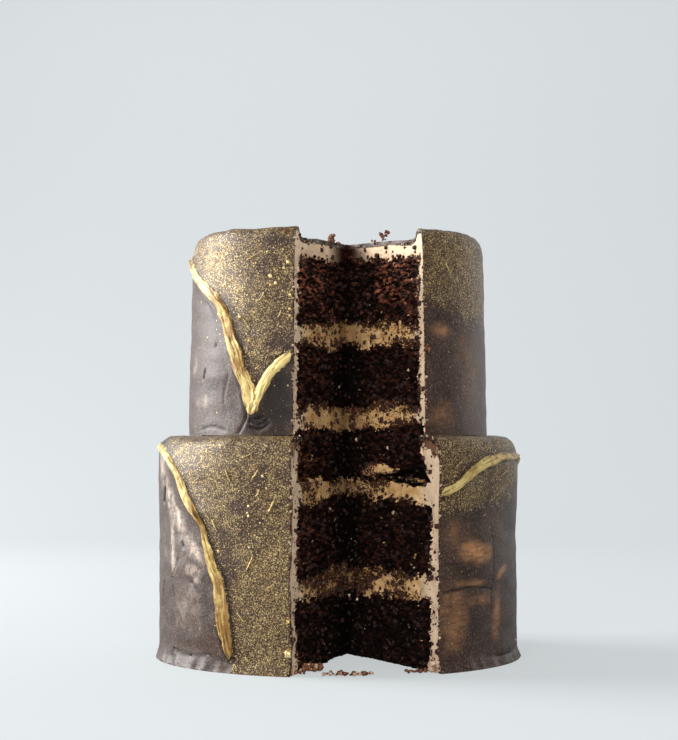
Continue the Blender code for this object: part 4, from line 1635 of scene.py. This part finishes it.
@dataclass
class LooseBits:
    """Crumbs, flecks, beads and straws that lie on the cake and at its foot."""

    strewn: Mesh
    dark: Material
    sponge: Material
    cream: Material
    gold: Material
    rust: Material
    random: np.random.Generator = field(default_factory=lambda: np.random.default_rng(7))

    def placed(self, name: str, shape: Piece, finish: Material, rows: list) -> Piece:
        """Puts copies of a shape at places.

        Args:
            name: the piece's name.
            shape: what is copied.
            finish: its material.
            rows: the place, turn and size of each copy, nine numbers in metres and radians.

        Returns:
            The piece.
        """
        table = np.array(rows)
        carrier = bpy.data.meshes.new(name)
        carrier.from_pydata(table[:, :3].tolist(), [], [])
        for key, columns in (("turn", table[:, 3:6]), ("size", table[:, 6:9])):
            layer = carrier.attributes.new(key, "FLOAT_VECTOR", "POINT")
            layer.data.foreach_set("vector", columns.astype(np.float32).ravel())
        return Strewing(name).on_places().run(name, carrier, Shape=shape, Finish=finish)

    def pile(self, centre: tuple, spread: tuple, count: int, small: float, large: float) -> list:
        """Rows for a heap of crumbs.

        Args:
            centre: the heap's middle in millimetres.
            spread: its half widths in millimetres.
            count: how many crumbs.
            small: the smallest crumb's radius in millimetres.
            large: the largest one's.

        Returns:
            Rows for placed().
        """
        rows = []
        for _ in range(count):
            size = (small + (large - small) * self.random.random() ** 2) * MM
            off = self.random.uniform(-1.0, 1.0, 3)
            at = [(c + s * o) * MM for c, s, o in zip(centre, spread, off)]
            turn = self.random.uniform(0.0, 6.28, 3)
            axes = size * self.random.uniform(0.7, 1.2, 3)
            at[2] = max(at[2], 1.15 * axes.max())
            rows.append([*at, *turn, *axes])
        return rows

    def on_coat(self, is_upper: bool, bearing: float, height: float, out: float) -> list:
        """A place on or off the coat.

        Args:
            is_upper: whether it is the upper tier's coat.
            bearing: its bearing in degrees.
            height: its height in millimetres.
            out: how far off the coat it lies, in millimetres.

        Returns:
            The place in metres.
        """
        turn, z = math.radians(bearing), height * MM
        radius = CAKE.tier(is_upper).wall_radius(z)
        radius = radius + CoatField(is_upper).relief(round_about(turn, radius, z))[0] + out * MM
        return round_about(turn, radius, z)[0].tolist()

    def build(self) -> None:
        """Makes every kind of loose bit."""
        crumb = blob("crumb_shape", 3.1)
        by_value = (
            ("crumbs_on_cream", "on_cream", 0.30e6, 5, 0.25, 1.25, self.sponge, "sponge"),
            ("grains_on_sponge", "on_sponge", 0.045e6, 9, 0.35, 1.2, self.dark, "sponge"),
            ("flecks_on_sponge", "on_sponge", 0.0012e6, 13, 0.25, 1.05, self.cream, "buttercream"),
            ("crumbs_on_edges", "on_edge", 1.0e6, 17, 0.16, 0.70, self.sponge, "sponge"),
            ("cream_on_edges", "on_edge", 0.8e6, 19, 0.16, 0.62, self.cream, "buttercream"),
        )
        for name, value, density, seed, small, large, finish, slot in by_value:
            piece = Strewing(name).on_faces(value).run(
                name, self.strewn.copy(), Shape=crumb, Finish=finish, Density=density, Seed=seed,
                Smallest=small * MM, Largest=large * MM,
            )
            settle(piece, slot)
        heaps = (
            ((-3.3, -20.6, 191.4), (1.6, 1, 1.7), 16, 0.4, 1.3),
            ((-1, -14, 190.2), (2.6, 1, 0.5), 10, 0.3, 0.8),
            ((20.6, -27.4, 191.4), (1.5, 0.8, 1.6), 14, 0.4, 1.1),
            ((22.2, -28.4, 193.2), (1, 0.6, 0.8), 6, 0.4, 0.9),
            ((16, -23, 190), (1.4, 0.7, 0.4), 7, 0.3, 0.7),
            ((38.6, -58.4, 139.8), (1.1, 0.9, 1.5), 12, 0.4, 1),
            ((-21.6, -61.6, 189.6), (1.4, 1, 1.4), 9, 0.4, 1),
            ((-11.4, -64.5, 1.6), (4.4, 2.2, 1.5), 44, 0.6, 1.7),
            ((-17, -74, 0.8), (2.5, 2, 0.6), 14, 0.4, 1.1), ((6, -76, 0.5), (11, 3, 0.2), 34, 0.4, 1.1),
            ((33, -70, 0.8), (5, 2, 0.7), 20, 0.4, 1.1),
        )
        rows = [row for heap in heaps for row in self.pile(*heap)]
        settle(self.placed("crumb_heaps", crumb, self.rust, rows), "sponge")
        pale = self.pile((3, -77, 0.5), (12, 3, 0.2), 22, 0.4, 1)
        pale += self.pile((-11, -66, 2.2), (4, 1, 1.2), 8, 0.5, 1.1)
        pale += self.pile((41, -72, 3.4), (1.6, 0.8, 1.8), 12, 0.8, 1.6)
        pale += self.pile((-16.5, -68, 1), (3, 1.5, 0.5), 5, 0.4, 0.9)
        settle(self.placed("cream_bits", crumb, self.cream, pale), "buttercream")
        beads = []
        for up, bearing, height, size in BEADS:
            beads.append(self.on_coat(up, bearing, height, 0.1) + [0.0, 0.0, math.radians(bearing)]
                         + [size * MM, 0.6 * size * MM, 1.25 * size * MM])
        for _ in range(90):
            up = self.random.random() < 0.5
            bearing = self.random.uniform(-52.0, -20.0)
            height = self.random.uniform(145.0, 184.0) if up else self.random.uniform(10.0, 90.0)
            if not up and bearing < -38.0:
                continue
            size = 0.22 + 0.3 * self.random.random() ** 2
            beads.append(self.on_coat(up, bearing, height, 0.02) + [0.0, 0.0, math.radians(bearing)]
                         + [size * MM, 0.6 * size * MM, size * MM])
        settle(self.placed("gold_beads", crumb, self.gold, beads), "gilt")
        rods = []
        for up, (b0, z0), (b1, z1), thick in STRAWS:
            start, end = (np.array(self.on_coat(up, b, z, 0.35)) for b, z in ((b0, z0), (b1, z1)))
            run = end - start
            length = float(np.linalg.norm(run))
            turn = math.atan2(run[1], run[0])
            rods.append([*((start + end) / 2).tolist(), 0.0, -math.asin(run[2] / length), turn,
                         length, thick * MM, thick * MM])
        settle(self.placed("gold_straws", straw("straw_shape"), self.gold, rods), "gilt")
        for shape in [o for o in bpy.data.objects if o.name.endswith("_shape")]:
            bpy.data.objects.remove(shape)


# Raised beads of gold on the coats: tier, bearing in degrees, height and radius in millimetres.
BEADS = (
    (True, -25.3, 170.7, 0.9), (True, -23.3, 167.6, 0.7), (True, -25.3, 166.8, 0.6),
    (True, -38.9, 153.6, 0.8), (True, -18.6, 176.5, 0.8), (True, -20.2, 174, 0.6),
    (True, -17.6, 162.2, 0.7), (True, -17.6, 156.2, 0.6), (True, -17.6, 153.2, 0.6),
    (False, -22.5, 84.5, 0.6), (False, -27.1, 71.7, 0.6), (False, -27.2, 67.5, 0.6),
    (False, -38.1, 52, 0.6), (False, -14.6, 23.1, 0.8), (False, -14.6, 9.6, 1.6), (False, 76.1, 8.7, 0.6),
)

# Thin golden straws pressed to the coats: tier, two ends as bearing and height, and thickness.
STRAWS = (
    (True, (-37.5, 153.1), (-34.1, 148.5), 0.45), (True, (-22.3, 152.4), (-20.8, 155.8), 0.4),
    (True, (-51.3, 187.4), (-46.2, 184.3), 0.4), (True, (-31.2, 130.6), (-29.5, 132.3), 0.4),
    (True, (-36, 178), (-31, 181), 0.35), (True, (-30, 160), (-27.6, 164), 0.35),
    (True, (44, 178), (47, 173), 0.35), (True, (58, 168), (61, 172), 0.35),
    (False, (-35.3, 86.9), (-33.4, 81.4), 0.5), (False, (-26.1, 82.8), (-23.8, 87.1), 0.5),
    (False, (-24.8, 75.6), (-23.4, 78.2), 0.45), (False, (-20.9, 68.5), (-18.7, 74.4), 0.75),
    (False, (-40.7, 65.3), (-38.7, 60.2), 0.5), (False, (-28.1, 43.6), (-25.8, 50.5), 0.55),
    (False, (-28.5, 7.4), (-26.6, 5.5), 0.5), (False, (-30, 92), (-26, 94), 0.35),
    (False, (-22, 36), (-19, 39), 0.35), (False, (-31, 26), (-28.6, 22), 0.35),
    (False, (37, 88), (40, 91), 0.4), (False, (60, 84), (63, 86), 0.35),
)


class NodeSketch:
    """Builds a shader by short calls. A value may be a number, a colour or another node's output."""

    def __init__(self, name: str) -> None:
        """Starts a material whose Principled shader is self.shader."""
        self.material = bpy.data.materials.new(name)
        self.material.use_nodes = True
        self.nodes = self.material.node_tree.nodes
        self.links = self.material.node_tree.links
        self.shader = self.nodes["Principled BSDF"]

    def put(self, socket: Socket, value: object) -> None:
        """Sets a socket, or links it where the value is an output.

        Args:
            socket: the socket.
            value: a number, a colour or an output.
        """
        if isinstance(value, Socket):
            self.links.new(value, socket)
        elif isinstance(value, tuple) and len(value) == 3 and socket.type == "RGBA":
            socket.default_value = (*value, 1.0)
        else:
            socket.default_value = value

    def add(self, kind: str, settings: dict | None = None, **inputs: object) -> Node:
        """Adds a node.

        Args:
            kind: the node's type name.
            settings: the node's own properties.
            **inputs: values for its inputs, by name with underscores for spaces.

        Returns:
            The node.
        """
        node = self.nodes.new("ShaderNode" + kind)
        for key, value in (settings or {}).items():
            setattr(node, key, value)
        for key, value in inputs.items():
            self.put(node.inputs[key.replace("_", " ")], value)
        return node

    def value(self, name: str) -> Socket:
        """A per-corner value of the mesh."""
        return self.add("Attribute", {"attribute_name": name}).outputs["Fac"]

    def place(self, stretch: tuple = (1.0, 1.0, 1.0)) -> Socket:
        """Positions in the object's own metres, stretched along each axis.

        Args:
            stretch: the factor along each axis.

        Returns:
            The positions.
        """
        coords = self.add("TexCoord").outputs["Object"]
        node = self.add("VectorMath", {"operation": "MULTIPLY"})
        self.put(node.inputs[0], coords)
        node.inputs[1].default_value = stretch
        return node.outputs[0]

    def on_cut(self, along: float = 1.0, upward: float = 1.0) -> Socket:
        """Positions that lie flat on a cut, along it and up, each multiplied by a factor."""
        up = self.add("SeparateXYZ", Vector=self.place()).outputs["Z"]
        return self.add("CombineXYZ", X=self.times(self.value("run"), along),
                        Z=self.times(up, upward)).outputs[0]

    def noise(self, wave: float, detail: float = 2.0, stretch: tuple = (1.0, 1.0, 1.0),
              at: Socket | None = None, grit: float = 0.55) -> Socket:
        """Noise from 0 to 1 with a wavelength in millimetres."""
        node = self.add("TexNoise", Vector=at or self.place(stretch), Scale=1.0 / (wave * MM),
                        Detail=detail, Roughness=grit)
        return node.outputs["Fac"]

    def cells(self, wave: float, at: Socket | None = None) -> tuple:
        """Random cells of a width in millimetres: the distance from each middle, and a random value."""
        node = self.add("TexVoronoi", Vector=at or self.place(), Scale=1.0 / (wave * MM))
        split = self.add("SeparateColor", Color=node.outputs["Color"])
        return node.outputs["Distance"], split.outputs[0]

    def maths(self, operation: str, a: object, b: object = 0.0, clamp: bool = False) -> Socket:
        """One arithmetic step.

        Args:
            operation: which step.
            a: the first value.
            b: the second value.
            clamp: whether the outcome is kept between 0 and 1.

        Returns:
            The outcome.
        """
        node = self.add("Math", {"operation": operation, "use_clamp": clamp})
        self.put(node.inputs[0], a)
        self.put(node.inputs[1], b)
        return node.outputs[0]

    def plus(self, a: object, b: object, clamp: bool = False) -> Socket:
        """A sum, kept between 0 and 1 if clamped."""
        return self.maths("ADD", a, b, clamp)

    def minus(self, a: object, b: object) -> Socket:
        """A difference."""
        return self.maths("SUBTRACT", a, b)

    def times(self, a: object, b: object, clamp: bool = False) -> Socket:
        """A product, kept between 0 and 1 if clamped."""
        return self.maths("MULTIPLY", a, b, clamp)

    def span(self, value: object, low: object, high: object, start: float = 0.0,
             end: float = 1.0) -> Socket:
        """A smooth change from start to end as the value goes from low to high.

        Args:
            value: what is looked at.
            low: where the change starts.
            high: where it ends.
            start: the outcome there and below.
            end: the outcome there and above.

        Returns:
            The outcome.
        """
        node = self.add("MapRange", {"interpolation_type": "SMOOTHSTEP"}, Value=value)
        self.put(node.inputs["From Min"], low)
        self.put(node.inputs["From Max"], high)
        node.inputs["To Min"].default_value = start
        node.inputs["To Max"].default_value = end
        return node.outputs[0]

    def mix(self, share: object, a: object, b: object, blend: str = "MIX") -> Socket:
        """A blend of two colours.

        Args:
            share: how much of the second colour shows.
            a: the first value.
            b: the second value.
            blend: how the colours are blended.

        Returns:
            The colour.
        """
        node = self.add("Mix", {"data_type": "RGBA", "blend_type": blend})
        self.put(node.inputs["Factor"], share)
        self.put(node.inputs[6], a)
        self.put(node.inputs[7], b)
        return node.outputs[2]

    def bump(self, height: object, depth: float, strength: float, under: object = None) -> Socket:
        """A bumped normal from a height that spans a depth in millimetres.

        Args:
            height: the height, from 0 to 1.
            depth: the depth in millimetres.
            strength: how strongly it shows, from 0 to 1.
            under: the normal that it is added to.

        Returns:
            The normal.
        """
        node = self.add("Bump", Height=height, Distance=depth * MM, Strength=strength)
        if under is not None:
            self.put(node.inputs["Normal"], under)
        return node.outputs[0]

    def finish(self, **inputs: object) -> Material:
        """Sets the shader's inputs and returns the material.

        Args:
            **inputs: the inputs by name.

        Returns:
            The material.
        """
        for key, value in inputs.items():
            self.put(self.shader.inputs[key.replace("_", " ")], value)
        return self.material


def tone(red: int, green: int, blue: int) -> tuple[float, float, float]:
    """A linear colour from display values between 0 and 255."""
    shares = (c / 255.0 for c in (red, green, blue))
    return tuple(s / 12.92 if s <= 0.04045 else ((s + 0.055) / 1.055) ** 2.4 for s in shares)


@dataclass(frozen=True)
class CrumbAndCream:
    """The finish of a cut: porous dark crumb with painted highlights and painted shade, and cream where the
    value cream says so.
    """

    name: str = "cut_finish"
    # Painted shade: the colour that the crumb is darkened to where it lies in shadow.
    painted_crumb_shade: tuple = tone(7, 2, 1)
    crumb: tuple = tone(42, 19, 13)
    # Painted highlight: the colour of crumb lumps that catch the light.
    painted_lit_crumb: tuple = tone(164, 98, 72)
    stain: tuple = tone(160, 98, 56)
    loose: tuple = tone(46, 20, 11)
    rind: tuple = tone(104, 62, 38)
    cream_low: tuple = tone(226, 174, 112)
    cream_high: tuple = tone(252, 216, 160)
    wall_cream: tuple = tone(255, 224, 190)

    def build(self) -> Material:
        """Makes the material."""
        s = NodeSketch(self.name)
        at = s.on_cut()
        # Painted shade towards the slice's point, where the cut lies in shadow.
        deep = s.span(s.value("run"), 0.016, 0.002)
        position = s.add("SeparateXYZ", Vector=s.place()).outputs
        left, high = position["X"], position["Z"]
        fine = s.noise(0.55, 2.0, at=at)
        share = s.plus(s.value("cream"), s.times(s.minus(fine, 0.5), 0.9))
        cream = s.span(share, 0.38, 0.62)
        torn = s.noise(1.9, 6.0, at=s.on_cut(0.75), grit=0.66)
        broad = s.span(s.noise(9.0, 2.0, at=s.on_cut(0.8)), 0.34, 0.60)
        # Painted highlight on the crumb's lumps, stronger on the top sponge and towards -X.
        lit = s.times(s.span(torn, 0.47, 0.62), broad)
        painted_light_by_place = s.plus(s.span(high, 0.135, 0.172, 0.24, 1.5), s.span(left, -0.002, -0.016, 0.0, 0.6))
        lit = s.times(lit, painted_light_by_place, True)
        crumb = s.mix(lit, self.crumb, self.painted_lit_crumb)
        # Painted shade: darker in the hollows between lumps, in recesses that stand back, towards the slice's
        # point, lower down and near the foot.
        crumb = s.mix(s.span(torn, 0.53, 0.44), crumb, self.painted_crumb_shade)
        crumb = s.mix(s.span(s.value("stand"), -1.3, -0.3, 0.9, 0.0), crumb, self.painted_crumb_shade)
        crumb = s.mix(s.times(deep, 0.85), crumb, self.painted_crumb_shade)
        crumb = s.mix(s.span(high, 0.165, 0.130, 0.0, 0.4), crumb, self.painted_crumb_shade)
        crumb = s.mix(s.span(high, 0.045, 0.020, 0.0, 0.45), crumb, self.painted_crumb_shade)
        grain = s.plus(s.times(s.noise(0.85, 3.0, at=at, grit=0.6), 1.1),
                        s.times(s.noise(2.6, 3.0, at=at), 0.8))
        cover = s.plus(grain, s.times(s.value("crumbs"), 0.42))
        crumbed = s.span(cover, 1.235, 1.30)
        butter = s.mix(s.span(s.noise(3.6, 3.0, at=at), 0.3, 0.72), self.cream_low, self.cream_high)
        butter = s.mix(s.value("wall"), butter, self.wall_cream)
        streaks = s.noise(1.6, 3.0, at=s.on_cut(1.0, 0.14))
        smeared = s.plus(s.value("rind"), s.times(s.minus(streaks, 0.5), 1.6))
        butter = s.mix(s.span(smeared, 0.46, 0.62, 0.0, 0.9), butter, self.rind)
        butter = s.mix(s.span(cover, 1.12, 1.28, 0.0, 0.55), butter, self.stain)
        butter = s.mix(s.times(crumbed, 0.94), butter, self.loose)
        # Near the slice's point the cream darkens towards the loose crumb's colour: partly crumbs, partly
        # painted shade, more so on the lid.
        butter = s.mix(s.times(deep, s.span(high, 0.172, 0.182, 0.5, 1.0)), butter, self.loose)
        normal = s.bump(torn, 0.9, 0.8)
        normal = s.bump(crumbed, 0.4, 0.6, normal)
        normal = s.bump(s.noise(0.35, 2.0), 0.12, 0.4, normal)
        return s.finish(
            Base_Color=s.mix(cream, crumb, butter),
            Roughness=s.span(cream, 0.0, 1.0, 0.7, 0.5),
            Normal=normal,
            Specular_IOR_Level=0.10,
        )


@dataclass(frozen=True)
class DustedChocolate:
    """The finish of the coat: matte spread chocolate, pale and bronze smears, gold dust, and painted shade
    where the value shade says so.
    """

    name: str = "chocolate_finish"
    brown: tuple = tone(46, 28, 20)
    mauve: tuple = tone(66, 45, 36)
    pale: tuple = tone(226, 206, 188)
    bronze: tuple = tone(222, 160, 104)
    shade: tuple = tone(22, 13, 9)
    gold_bed: tuple = tone(66, 46, 30)
    gold_low: tuple = tone(138, 108, 58)
    gold_high: tuple = tone(230, 204, 144)

    def build(self) -> Material:
        """Makes the material."""
        s = NodeSketch(self.name)
        mottle = s.noise(11.0, 3.0)
        base = s.mix(s.span(mottle, 0.3, 0.7), self.brown, self.mauve)
        strokes = s.noise(3.0, 3.0, (1.0, 1.0, 0.22))
        base = s.mix(s.span(strokes, 0.52, 0.75, 0.0, 0.30), base, self.shade)
        base = s.mix(s.span(s.noise(0.7, 3.0), 0.45, 0.75, 0.0, 0.15), base, self.pale)
        powder = s.plus(s.noise(0.6, 3.0, grit=0.7), s.noise(3.0, 3.0))
        pale = s.times(s.value("pale"), s.span(powder, 0.78, 1.16, 0.1, 1.0))
        base = s.mix(pale, base, self.pale)
        brushed = s.noise(2.2, 4.0, (0.35, 0.35, 1.3), grit=0.65)
        base = s.mix(s.times(s.value("bronze"), s.span(brushed, 0.32, 0.60, 0.35, 1.0)), base, self.bronze)
        # Painted shade where the value shade says so.
        base = s.mix(s.value("shade"), base, self.shade)
        dust = s.value("dust")
        drag = s.span(s.noise(2.6, 3.0, (0.7, 0.7, 1.2)), 0.30, 0.60, 0.5, 1.0)
        clouds = s.times(dust, drag)
        base = s.mix(s.times(clouds, 0.80), base, self.gold_bed)
        thick = s.plus(s.times(clouds, 0.86), 0.008)
        specks = s.span(s.plus(s.noise(0.5, 2.0, grit=0.75), s.times(clouds, 0.14)), 0.69, 0.74)
        for wave, weight in ((0.80, 0.18), (0.56, 0.55), (0.40, 0.70)):
            gap, pick = s.cells(wave)
            chosen = s.maths("LESS_THAN", pick, s.times(thick, weight))
            specks = s.maths("MAXIMUM", specks, s.times(chosen, s.span(gap, 0.56, 0.34)))
        gold = s.mix(s.span(s.noise(0.7, 1.0), 0.38, 0.68), self.gold_low, self.gold_high)
        cover = s.times(specks, 0.92)
        normal = s.bump(s.noise(2.2, 4.0, (1.0, 1.0, 1.6)), 0.35, 0.35)
        normal = s.bump(strokes, 0.30, 0.30, normal)
        normal = s.bump(specks, 0.16, 0.6, normal)
        return s.finish(
            Base_Color=s.mix(cover, base, gold),
            Metallic=s.times(cover, 0.35),
            Roughness=s.span(cover, 0.0, 1.0, 0.47, 0.38),
            Normal=normal,
            Specular_IOR_Level=0.34,
        )


@dataclass(frozen=True)
class GoldLeaf:
    """The finish of the ridges: leaf folded along its length, with painted highlights on its crests and along
    its folds.
    """

    name: str = "gilt_finish"
    ochre: tuple = tone(142, 102, 38)
    bright: tuple = tone(226, 201, 130)
    crack: tuple = tone(60, 38, 14)

    def build(self) -> Material:
        """Makes the material."""
        s = NodeSketch(self.name)
        along = s.add("CombineXYZ", X=s.times(s.value("along"), 0.35),
                      Y=s.value("aside"))
        folds = s.add("TexNoise", Vector=along.outputs[0], Scale=0.9 / MM, Detail=3.0,
                      Roughness=0.6).outputs["Fac"]
        patchy = s.times(s.minus(s.noise(3.6, 3.0), 0.5), 2.4)
        share = s.plus(s.value("pale"), patchy, True)
        # Painted highlight lines along the folds.
        share = s.plus(share, s.span(folds, 0.50, 0.66, 0.0, 0.5), True)
        leaf = s.mix(share, self.ochre, self.bright)
        leaf = s.mix(s.times(s.span(folds, 0.45, 0.34), 0.85), leaf, self.crack)
        normal = s.bump(folds, 0.8, 0.8)
        normal = s.bump(s.noise(1.4, 3.0), 0.12, 0.35, normal)
        return s.finish(
            Base_Color=leaf,
            Metallic=0.25,
            Roughness=s.span(s.noise(0.9, 2.0), 0.3, 0.7, 0.34, 0.52),
            Normal=normal,
        )


@dataclass(frozen=True)
class PlainCrumb:
    """The finish of loose crumbs, flakes and beads: one colour broken up by fine noise."""

    name: str
    low: tuple
    high: tuple
    roughness: float = 0.7
    metallic: float = 0.0

    def build(self) -> Material:
        """Makes the material."""
        s = NodeSketch(self.name)
        return s.finish(
            Base_Color=s.mix(s.span(s.noise(1.3, 3.0), 0.35, 0.68), self.low, self.high),
            Roughness=self.roughness,
            Metallic=self.metallic,
            Normal=s.bump(s.noise(0.35, 2.0), 0.12, 0.5),
        )


@dataclass(frozen=True)
class Studio:
    """The stand-in for the photo's room: camera, soft daylight from the left and a pale sweep."""

    camera_distance: float = 0.828
    camera_height: float = 0.0998
    lens: float = 86.3
    shift_y: float = 70.0 / 740.0
    shift_x: float = 1.0 / 740.0

    def aim(self, thing: Piece, target: Vector) -> None:
        """Turns a light or camera towards a place."""
        thing.rotation_euler = (target - thing.location).to_track_quat("-Z", "Y").to_euler()

    def lamp(self, name: str, place: tuple, size: tuple, power: float, colour: tuple) -> None:
        """Adds a soft rectangular light that faces the cake.

        Args:
            name: its name.
            place: where it stands.
            size: how large it is.
            power: its power in watts.
            colour: its colour.
        """
        data = bpy.data.lights.new(name, "AREA")
        data.shape = "RECTANGLE"
        data.size, data.size_y = size
        data.energy = power
        data.color = colour
        lamp = bpy.data.objects.new(name, data)
        lamp.location = place
        bpy.context.scene.collection.objects.link(lamp)
        self.aim(lamp, Vector((0.0, 0.0, 0.1)))

    def sweep(self) -> None:
        """Adds the pale floor that curves up into a backdrop."""
        radius, far, wide, tall = 0.6, 1.5, 4.0, 3.0
        turns = np.linspace(0.0, math.pi / 2, 24)
        profile = [(-3.0, 0.0)] + [
            (far - radius + radius * math.sin(t), radius - radius * math.cos(t)) for t in turns
        ] + [(far, tall)]
        corners = [(x, y, z) for x in (-wide, wide) for y, z in profile]
        count = len(profile)
        faces = [(i, i + count, i + count + 1, i + 1) for i in range(count - 1)]
        mesh = bpy.data.meshes.new("sweep")
        mesh.from_pydata(corners, [], faces)
        mesh.shade_smooth()
        s = NodeSketch("sweep_finish")
        shade = s.span(s.noise(900.0, 1.0), 0.3, 0.7)
        seen = s.add("LightPath").outputs["Is Camera Ray"]
        behind = s.add("SeparateXYZ", Vector=s.place()).outputs["Y"]
        mesh.materials.append(s.finish(
            Base_Color=s.mix(shade, tone(140, 144, 146), tone(144, 148, 150)),
            Roughness=0.95,
            Specular_IOR_Level=0.0,
            Emission_Color=tone(232, 237, 239),
            Emission_Strength=s.plus(
                s.times(seen, 0.56), s.times(s.minus(1.0, seen), s.span(behind, 0.5, 1.4, 0.12, 0.75))
            ),
        ))
        floor = bpy.data.objects.new("sweep", mesh)
        bpy.context.scene.collection.objects.link(floor)

    def build(self) -> None:
        """Sets up the camera, the lights and the backdrop."""
        scene = bpy.context.scene
        data = bpy.data.cameras.new("camera")
        data.lens = self.lens
        data.sensor_width = 36.0
        data.shift_x, data.shift_y = self.shift_x, self.shift_y
        camera = bpy.data.objects.new("camera", data)
        camera.location = (0.0, -self.camera_distance, self.camera_height)
        camera.rotation_euler = (math.pi / 2, 0.0, 0.0)
        scene.collection.objects.link(camera)
        scene.camera = camera
        self.sweep()
        self.lamp("window", (-1.12, 0.32, 0.50), (0.8, 0.8), 30.0, (1.0, 0.985, 0.97))
        self.lamp("front", (-0.14, -1.5, 0.50), (1.1, 0.9), 17.4, (1.0, 0.97, 0.93))
        self.lamp("rim", (1.15, 0.75, 0.40), (0.8, 0.8), 1.9, (1.0, 0.86, 0.76))
        world = bpy.data.worlds.new("room")
        world.use_nodes = True
        background = world.node_tree.nodes["Background"]
        background.inputs["Color"].default_value = (*tone(226, 234, 240), 1.0)
        background.inputs["Strength"].default_value = 0.30
        scene.world = world
        scene.view_settings.view_transform = "Standard"
        LOG.info("studio ready")


@dataclass
class CakeBuilder:
    """Makes every piece of the cake from the inside out."""

    faces: dict = field(default_factory=lambda: {side: CutFace(side) for side in Side})
    strewn: Sheet = field(default_factory=Sheet)

    def layers(self, material: Material) -> list:
        """Makes the sponges and fillings."""
        pairs = zip((None,) + LAYERS, LAYERS)
        return [CakeLayer(layer, below, self.faces, material, self.strewn).build() for below, layer in pairs]

    def cream_line(self, tier: Tier) -> Array:
        """The line between a tier's cream and its coat: radii and heights in metres.

        The coat is thin on the wall and thicker on the level parts.

        Args:
            tier: the tier.

        Returns:
            The line's points, one to a row.
        """
        line = smooth_route(tier.outside, 0.5)
        outward = outward_of(line)
        thick = 0.8 + 1.5 * smooth(0.5, 0.95, outward[:, 1])
        inside = line - outward * thick[:, None]
        foot = line[0, 1]
        wall = inside[inside[:, 1] > foot + 7.0]
        below = np.column_stack([np.full(14, wall[0, 0]), np.linspace(foot, foot + 6.5, 14)])
        joined = np.vstack([below, wall])
        if tier.outside[-1][0] == 0.0:
            joined[-1, 0] = 0.0
        return joined * MM

    def creams(self, material: Material) -> list:
        """Makes the buttercream round both tiers.

        Args:
            material: their finish.

        Returns:
            The pieces.
        """
        upper_inner, lower_inner = {}, {}
        top, shelf = LAYERS[-1], LAYERS[3].rim * MM
        for side in Side:
            bearing = CAKE.upper.bearing(side)
            wall = CAKE.reach(bearing, CAKE.narrow_radius * MM)
            upper_inner[side] = np.array([
                (wall, CAKE.upper_cream[0][1] * MM), (wall, top.rim * MM), (0.0, (top.rim + top.rise) * MM),
            ])
            bearing = CAKE.lower.bearing(side)
            body = CAKE.reach(bearing, CAKE.wide_radius * MM, CAKE.wide_centre_x * MM)
            collar = CAKE.reach(bearing, CAKE.sunk_foot_radius * MM)
            neck = CAKE.reach(bearing, CAKE.narrow_radius * MM)
            lower_inner[side] = np.array([
                (body, 0.0), (body, shelf), (collar, shelf), (neck, CAKE.sunk_shoulder * MM),
                (neck, CAKE.ledge * MM - CAKE.coat_thickness * MM),
            ])
        return [
            CreamShell(name, tier, self.cream_line(tier), inner, self.faces, material, self.strewn).build()
            for name, tier, inner in (
                ("cream_upper", CAKE.upper, upper_inner), ("cream_lower", CAKE.lower, lower_inner),
            )
        ]

    def coats(self, material: Material) -> list:
        """Makes the chocolate over both tiers.

        Args:
            material: their finish.

        Returns:
            The pieces.
        """
        return [
            ChocolateCoat(name, up, self.cream_line(tier), self.faces, material, self.strewn).build()
            for name, up, tier in (
                ("chocolate_upper", True, CAKE.upper), ("chocolate_lower", False, CAKE.lower),
            )
        ]

    def ribbons(self, material: Material) -> list:
        """Makes the gold leaf along each ridge.

        Args:
            material: their finish.

        Returns:
            The pieces.
        """
        by_name = {ridge.name: ridge for ridge in RIDGES}
        fork = (by_name["gilt_upper_left"], by_name["gilt_upper_fork"])
        made = [GiltRibbon(fork, material).build("gilt_upper_left")]
        for name in ("gilt_lower_left", "gilt_lower_right", "gilt_upper_back", "gilt_lower_back"):
            made.append(GiltRibbon((by_name[name],), material).build(name))
        return made


def main() -> None:
    """Builds the cake and its studio."""
    logging.basicConfig(level=logging.INFO, format="%(name)s: %(message)s")
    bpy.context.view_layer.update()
    cut_finish = CrumbAndCream().build()
    builder = CakeBuilder()
    builder.layers(cut_finish)
    builder.creams(cut_finish)
    builder.coats(DustedChocolate().build())
    builder.ribbons(GoldLeaf().build())
    LooseBits(
        builder.strewn.mesh("strewn"),
        dark=PlainCrumb("dark_crumb", tone(18, 7, 4), tone(62, 31, 21), 0.9).build(),
        sponge=PlainCrumb("loose_crumb", tone(24, 9, 5), tone(88, 42, 26)).build(),
        cream=PlainCrumb("loose_cream", tone(176, 138, 106), tone(232, 208, 180), 0.5).build(),
        gold=PlainCrumb("loose_gold", tone(196, 158, 84), tone(252, 232, 178), 0.32, 0.55).build(),
        rust=PlainCrumb("rusty_crumb", tone(70, 32, 18), tone(156, 100, 66)).build(),
    ).build()
    Studio().build()


if __name__ == "__main__":
    main()
